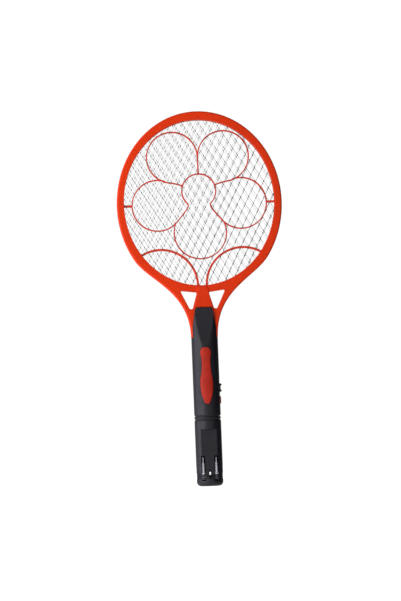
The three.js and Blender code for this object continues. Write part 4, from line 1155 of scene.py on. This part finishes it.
def bezel_outline(margin):
    """The dark window round the light: round above, drawn in to a blunt point below."""
    points = []
    for angle in round_angles(48):
        above = math.sin(angle) > 0
        taper = 1 if above else 1 - BEZEL_TAPER * math.sin(angle) ** 2
        reach = BEZEL_ABOVE if above else BEZEL_BELOW
        across = math.cos(angle) * (BEZEL_HALF_WIDTH + margin) * taper
        points.append((across, LED_HEIGHT + math.sin(angle) * (reach + margin)))
    return plate_points(points)


def throat_cutters():
    """The room between the shells for the frame's arms and stem."""
    shoulder = (SHOULDER - HANDLE_FOOT) / MM
    foot = shoulder - STEM_LENGTH / MM
    between = block("between", (-60, -THROAT_HALF, shoulder - GAP), (60, THROAT_HALF, 260))
    half = STEM_HALF / MM + GAP
    stem = block("stem", (-half, -THROAT_HALF, foot - GAP), (half, THROAT_HALF, shoulder + 0.7))
    return [combine(between, [stem], "UNION")]


def side_cutters():
    """The holes for the slide knob and the button, through the right wall."""
    low, high = SLIDE_HOLE
    slide = block("slide_hole", (HOLE_START, -SLIDE_HOLE_HALF, low), (HOLE_END, SLIDE_HOLE_HALF, high))
    ring = []
    for angle in round_angles(40):
        straight = BUTTON_HOLE_STRAIGHT if math.sin(angle) >= 0 else -BUTTON_HOLE_STRAIGHT
        z = BUTTON_HEIGHT + straight + BUTTON_HOLE_HALF * math.sin(angle)
        ring.append((BUTTON_HOLE_HALF * math.cos(angle), z))
    rings = [[solid_point(x, y, z) for y, z in ring] for x in (HOLE_START, HOLE_END)]
    return [slide, lofted("button_hole", rings)]


def recess_floor(x, edge):
    return bar_front(x, GRIP_SINK + 0.3)


def handle_shell(name, side):
    seam = SEAM_Y / MM
    shell = half_bar(name, side, outer_heights(), 0, False, seam)
    hollow = half_bar("hollow", side, HOLLOW_HEIGHTS, WALL, True, -1.0)
    combine(shell, [hollow], "DIFFERENCE")
    posts = []
    holes = []
    for node, (x, z) in SCREWS.items():
        seat = screw_seat(node)
        start = THROAT_HALF if z > 203 else seam
        posts.append(cylinder_y("post", x, z, POST_DIAMETER, *sorted((side * start, side * (seat + 1.5)))))
        if side > 0:
            holes.append(cylinder_y("hole", x, z, SCREW_HOLE_DIAMETER, -1, seat + 1))
            holes.append(cylinder_y("seat", x, z, SEAT_DIAMETER, seat - GAP, 30))
    combine(shell, posts, "UNION")
    cutters = holes + throat_cutters() + side_cutters()
    if side < 0:
        cutters.append(grip_patch("recess", GRIP_MARGIN, lambda x, edge: 30, recess_floor))
        for x in (-PLUG_X, PLUG_X):
            cutters.append(slab("slot", [(slot_outline(x), [(0, SLOT_FLOOR * MM), (0, -30 * MM)])]))
        cutters.append(slab("led_window", [(bezel_outline(0.15), [(0, -10 * MM), (0, -30 * MM)])]))
    combine(shell, cutters, "DIFFERENCE")
    weighted(smooth(shell, 40))
    return shell


def build_handle():
    for place, side in SIDES:
        shell = handle_shell("handle_" + place, side)
        finish_piece(shell, "handle_plastic", replaces=["handle_" + place + "_shell"])


# ---- Screws ----

CROSS_REACH = 1.5 * MM
CROSS_HALF = 0.28 * MM


def build_screws():
    for node, (x, z) in SCREWS.items():
        foot, top = [corner.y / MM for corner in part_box(node)]
        profile = [
            (0.6, foot), (1.3, foot + 1.2), (1.45, foot + 1.6), (1.45, top - 2.0), (2.6, top - 2.0),
            (2.7, top - 1.8), (2.7, top - 0.8), (2.5, top - 0.35), (2.1, top - 0.1), (1.5, top),
        ]
        screw = turned(node + "_body", [(r * MM, y * MM) for r, y in profile], 32, "y")
        cross = []
        for across, up in ((CROSS_REACH, CROSS_HALF), (CROSS_HALF, CROSS_REACH)):
            low = (-across, (top - 1.1) * MM, -up)
            cross.append(box_solid("cross", low, (across, (top + 1) * MM, up)))
        combine(screw, cross, "DIFFERENCE")
        turn = Matrix.Rotation(math.radians(20 + 37 * z), 4, "Y")
        screw.data.transform(Matrix.Translation((x * MM, 0, height(z))) @ turn)
        smooth(screw, 40)
        finish_piece(screw, "screw_steel", replaces=[node])


# ---- Slide switch and button ----

RIDGE_RADIUS = 1.4
RIDGE_INSET = 1.9
BUTTON_HALF = (3.45, 5.2)
BUTTON_FLANGE_HALF = (3.5, 6.45)
BUTTON_EDGE = 0.9


def build_slide_knob():
    inner = KNOB_LOW.x / MM
    foot = (KNOB_LOW.z - HANDLE_FOOT) / MM
    top = (KNOB_HIGH.z - HANDLE_FOOT) / MM
    face = KNOB_HIGH.x / MM - RIDGE_RADIUS
    pairs = [(inner, foot), (face - 0.5, foot), (face - 0.1, foot + 0.15)]
    for middle in (foot + RIDGE_INSET, top - RIDGE_INSET):
        for i in range(9):
            angle = math.pi * (i / 8)
            pairs.append((face + RIDGE_RADIUS * math.sin(angle), middle - RIDGE_RADIUS * math.cos(angle)))
    pairs += [(face - 0.1, top - 0.15), (face - 0.5, top), (inner, top)]
    half = KNOB_HIGH.y
    bevel = 0.35 * MM
    steps = [(shift, y) for shift, y in reversed(quarter_round(bevel, bevel, half - bevel, 1, 3))]
    steps += quarter_round(bevel, bevel, -half + bevel, -1, 3)
    knob = slab("slide_knob", [(plate_points(pairs), steps)])
    weighted(smooth(knob, 50))
    finish_piece(knob, "knob_plastic", body="power_switch", replaces=["power_switch_knob"])


def stadium(half_width, half_height, middle, count):
    """(across, height) pairs round an upright slot shape, in millimetres."""
    pairs = []
    straight = half_height - half_width
    for angle in round_angles(count, 0.5):
        shift = straight if math.sin(angle) > 0 else -straight
        pairs.append((half_width * math.cos(angle), middle + shift + half_width * math.sin(angle)))
    return pairs


def stadium_ring(x, half_width, half_height, middle):
    return [solid_point(x, y, z) for y, z in stadium(half_width, half_height, middle, 40)]


def build_button():
    inner = BUTTON_LOW.x / MM
    face = BUTTON_HIGH.x / MM
    middle = ((BUTTON_LOW.z + BUTTON_HIGH.z) / 2 - HANDLE_FOOT) / MM
    start = face - BUTTON_EDGE
    rings = [stadium_ring(x, *BUTTON_FLANGE_HALF, middle) for x in (inner, inner + 1)]
    rings += [stadium_ring(x, *BUTTON_HALF, middle) for x in (inner + 1, start)]
    for i in range(1, 7):
        angle = math.pi / 2 * i / 6
        shrink = 1.0 * (1 - math.cos(angle))
        half = [size - shrink for size in BUTTON_HALF]
        rings.append(stadium_ring(start + 0.75 * math.sin(angle), *half, middle))
    rings.append(stadium_ring(face - 0.05, 1.4, 3.1, middle))
    rings.append(stadium_ring(face, 0.5, 2.2, middle))
    button = lofted("button_cap", rings)
    smooth(button, 50)
    finish_piece(button, "button_plastic", body="zap_button", replaces=["zap_button"])


# ---- Folding plug and light ----

SHAFT_Y = -8.8
SHAFT_HEIGHT = 12.6
PIN_Y = -10.9
HUB_RADIUS = 4.2
CAM_RADIUS = 5.3
SHAFT_RADIUS = 2.2
SHAFT_HALF = 10.4
PIN_SEAT = 16.1


def cam_radius(angle):
    """The hub's outline: it fills its slot at the front while the pins are folded away."""
    front = min(ramp_up(angle, 120, 30), 1 - ramp_up(angle, 225, 25))
    return HUB_RADIUS + (CAM_RADIUS - HUB_RADIUS) * front


def hub_solid(x):
    rings = []
    for along, shrink in ((-2.6, 0.2), (-2.4, 0), (2.4, 0), (2.6, 0.2)):
        ring = []
        for degrees in range(0, 360, 6):
            radius = cam_radius(degrees) - shrink
            angle = math.radians(degrees)
            y = SHAFT_Y + radius * math.cos(angle)
            ring.append(solid_point(x + along, y, SHAFT_HEIGHT + radius * math.sin(angle)))
        rings.append(ring)
    return lofted("hub", rings)


def build_plug():
    end, bevel = SHAFT_HALF, 0.2
    rod = [(SHAFT_RADIUS - bevel, -end), (SHAFT_RADIUS, bevel - end)]
    rod += [(radius, -along) for radius, along in reversed(rod)]
    carrier = turned("plug_carrier_body", [(r * MM, x * MM) for r, x in rod], 40, "x")
    carrier.data.transform(Matrix.Translation((0, SHAFT_Y * MM, height(SHAFT_HEIGHT))))
    combine(carrier, [hub_solid(-PLUG_X), hub_solid(PLUG_X)], "UNION")
    near = [z for z in outer_heights() if z < 30]
    combine(carrier, [half_bar("form", -1, near, GAP, False, 0.5)], "INTERSECT")
    combine(carrier, [block("seat", (-20, -20, PIN_SEAT), (20, PIN_Y + 2.6, 20))], "DIFFERENCE")
    weighted(smooth(carrier, 40))
    # The hub gets the lighter painted grey, painted light against the shade of the pit it sits in.
    finish_piece(carrier, "hub_plastic_painted_lighter", body="plug", replaces=["plug_carrier"])
    foot = (PIN_LOW.z - HANDLE_FOOT) / MM
    profile = [
        (2.45, 0.1), (2.58, 0.25), (2.58, 1.9), (2.35, 2.3), (1.9, 2.8), (1.82, 4.0), (1.7, 8.0),
        (1.55, 12.0), (1.42, 15.4), (1.3, 16.0), (0.95, 16.6), (0.8, 17.2), (0.76, 20.0), (0.68, 22.6),
        (0.5, 23.4), (0.25, 23.8),
    ]
    for name, side in (("left", -1), ("right", 1)):
        pin = turned("pin_" + name, [(r * MM, z * MM) for r, z in profile], 36)
        pin.data.transform(Matrix.Translation((side * PLUG_X * MM, PIN_Y * MM, height(foot))))
        weighted(smooth(pin, 60))
        finish_piece(pin, "pin_metal", body="plug", replaces=["plug_pin_" + name])


def stadium_outline(half_width, half_height, middle):
    return plate_points(stadium(half_width, half_height, middle, 32))


LENS_HALF = (1.2, 2.3)
LENS_HOLE_HALF = (1.3, 2.4)
BEZEL_BACK = -11.4 * MM
BEZEL_EDGE = -13.25 * MM


def build_light():
    lens_round = quarter_round(0.5 * MM, 0.5 * MM, LED_LOW.y + 0.5 * MM, -1, 4)
    lens = slab("light_lens", [(stadium_outline(*LENS_HALF, LED_HEIGHT), [(0, LED_HIGH.y), *lens_round])])
    weighted(smooth(lens, 60))
    finish_piece(lens, "led_resin", replaces=["charge_led"])
    rim = quarter_round(0.2 * MM, 0.2 * MM, BEZEL_EDGE, -1, 3)
    hole = [(0, BEZEL_BACK), (0, -13.2 * MM), (0.25 * MM, -13.42 * MM)]
    outer = (bezel_outline(0), [(0, BEZEL_BACK), *rim])
    bezel = slab("light_bezel", [outer, (stadium_outline(*LENS_HOLE_HALF, LED_HEIGHT), hole)])
    smooth(bezel, 50)
    finish_piece(bezel, "bezel_black")


# ---- Lights and stage ----

FLAG_PLACE = (0.42, -0.1, 0.05)
FLAG_SIZE = 0.5
FLOOR_RADIUS = 9
FLOOR_HEIGHT = -170
SOFT_LIGHT = 0.3  # what floor and surround give the racket; the camera sees them white
FLOOR_SEEN = 1.0
SURROUND_SEEN = 1.02


def aim(obj, target):
    direction = (Vector(target) - obj.location).normalized()
    obj.rotation_euler = direction.to_track_quat("-Z", "Y").to_euler()


def add_softbox(name, place, target, size, power, color=(1, 1, 1)):
    data = bpy.data.lights.new(name, "AREA")
    data.shape = "RECTANGLE"
    data.size, data.size_y = size
    data.energy = power
    data.color = color
    light = add_object(name, data)
    light.location = place
    light.visible_camera = False
    aim(light, target)


def add_lights():
    """Place, target, size in metres, watts and colour of each softbox."""
    add_softbox("key", (-1.4, -1.6, 0.25), (0, 0, 0.08), (1.0, 1.2), 18.5)
    add_softbox("fill", (0.9, -2.2, 0.0), (0, 0, 0.05), (1.2, 1.2), 2.0)
    add_softbox("left_strip", (-1.3, -0.2, 0.12), (0, 0, 0.05), (0.6, 1.2), 9, (0.84, 0.81, 1.0))
    add_softbox("back", (0.4, 1.9, 1.0), (0, 0, 0.08), (1.2, 1.2), 14)


def add_flag():
    """A black card off to the right, outside the picture, that keeps that side of the racket dark."""
    bm = bmesh.new()
    bmesh.ops.create_grid(bm, x_segments=1, y_segments=1, size=FLAG_SIZE)
    flag = from_bmesh("flag", bm)
    flag.location = FLAG_PLACE
    flag.rotation_euler = (0, math.radians(90), 0)
    flag.visible_camera = False
    paint = Paint("flag_paint", (0.006, 0.006, 0.006), 0.9, specular=0.05)
    flag.data.materials.append(paint.mottle(4, 0.8, 1.2).material)


def add_stage():
    """A wide pale floor below the racket, and a white surround that lights it only softly."""
    bm = bmesh.new()
    bmesh.ops.create_circle(bm, cap_ends=True, segments=96, radius=FLOOR_RADIUS)
    floor = from_bmesh("floor", bm)
    floor.location = (0, 0, height(FLOOR_HEIGHT))
    paint = Paint("floor_paint", (0.86, 0.86, 0.86), 0.9)
    paint.mottle(2, 0.99, 1.0)
    paint.glow(SOFT_LIGHT)
    seen = paint.node("LightPath").outputs["Is Camera Ray"]
    paint.link(paint.spread(seen, 0, 1, SOFT_LIGHT, FLOOR_SEEN), paint.shader.inputs["Emission Strength"])
    floor.data.materials.append(paint.material)
    world = bpy.data.worlds.new("surround")
    world.use_nodes = True
    tree = world.node_tree
    shown = tree.nodes.new("ShaderNodeBackground")
    shown.inputs["Color"].default_value = (1, 1, 1, 1)
    shown.inputs["Strength"].default_value = SURROUND_SEEN
    lighting = tree.nodes["Background"]
    lighting.inputs["Color"].default_value = (0.97, 0.98, 1, 1)
    lighting.inputs["Strength"].default_value = SOFT_LIGHT
    ray = tree.nodes.new("ShaderNodeLightPath")
    mix = tree.nodes.new("ShaderNodeMixShader")
    tree.links.new(ray.outputs["Is Camera Ray"], mix.inputs["Fac"])
    tree.links.new(lighting.outputs["Background"], mix.inputs[1])
    tree.links.new(shown.outputs["Background"], mix.inputs[2])
    tree.links.new(mix.outputs["Shader"], tree.nodes["World Output"].inputs["Surface"])
    bpy.context.scene.world = world
    bpy.context.scene.view_settings.view_transform = "Standard"


# ---- Build ----

make_materials()
add_stage()
add_flag()
add_lights()
dress_frame()
build_head_frame()
build_spacers()
build_nets()
build_handle()
build_grip_insert()
build_slide_knob()
build_button()
build_plug()
build_light()
build_screws()
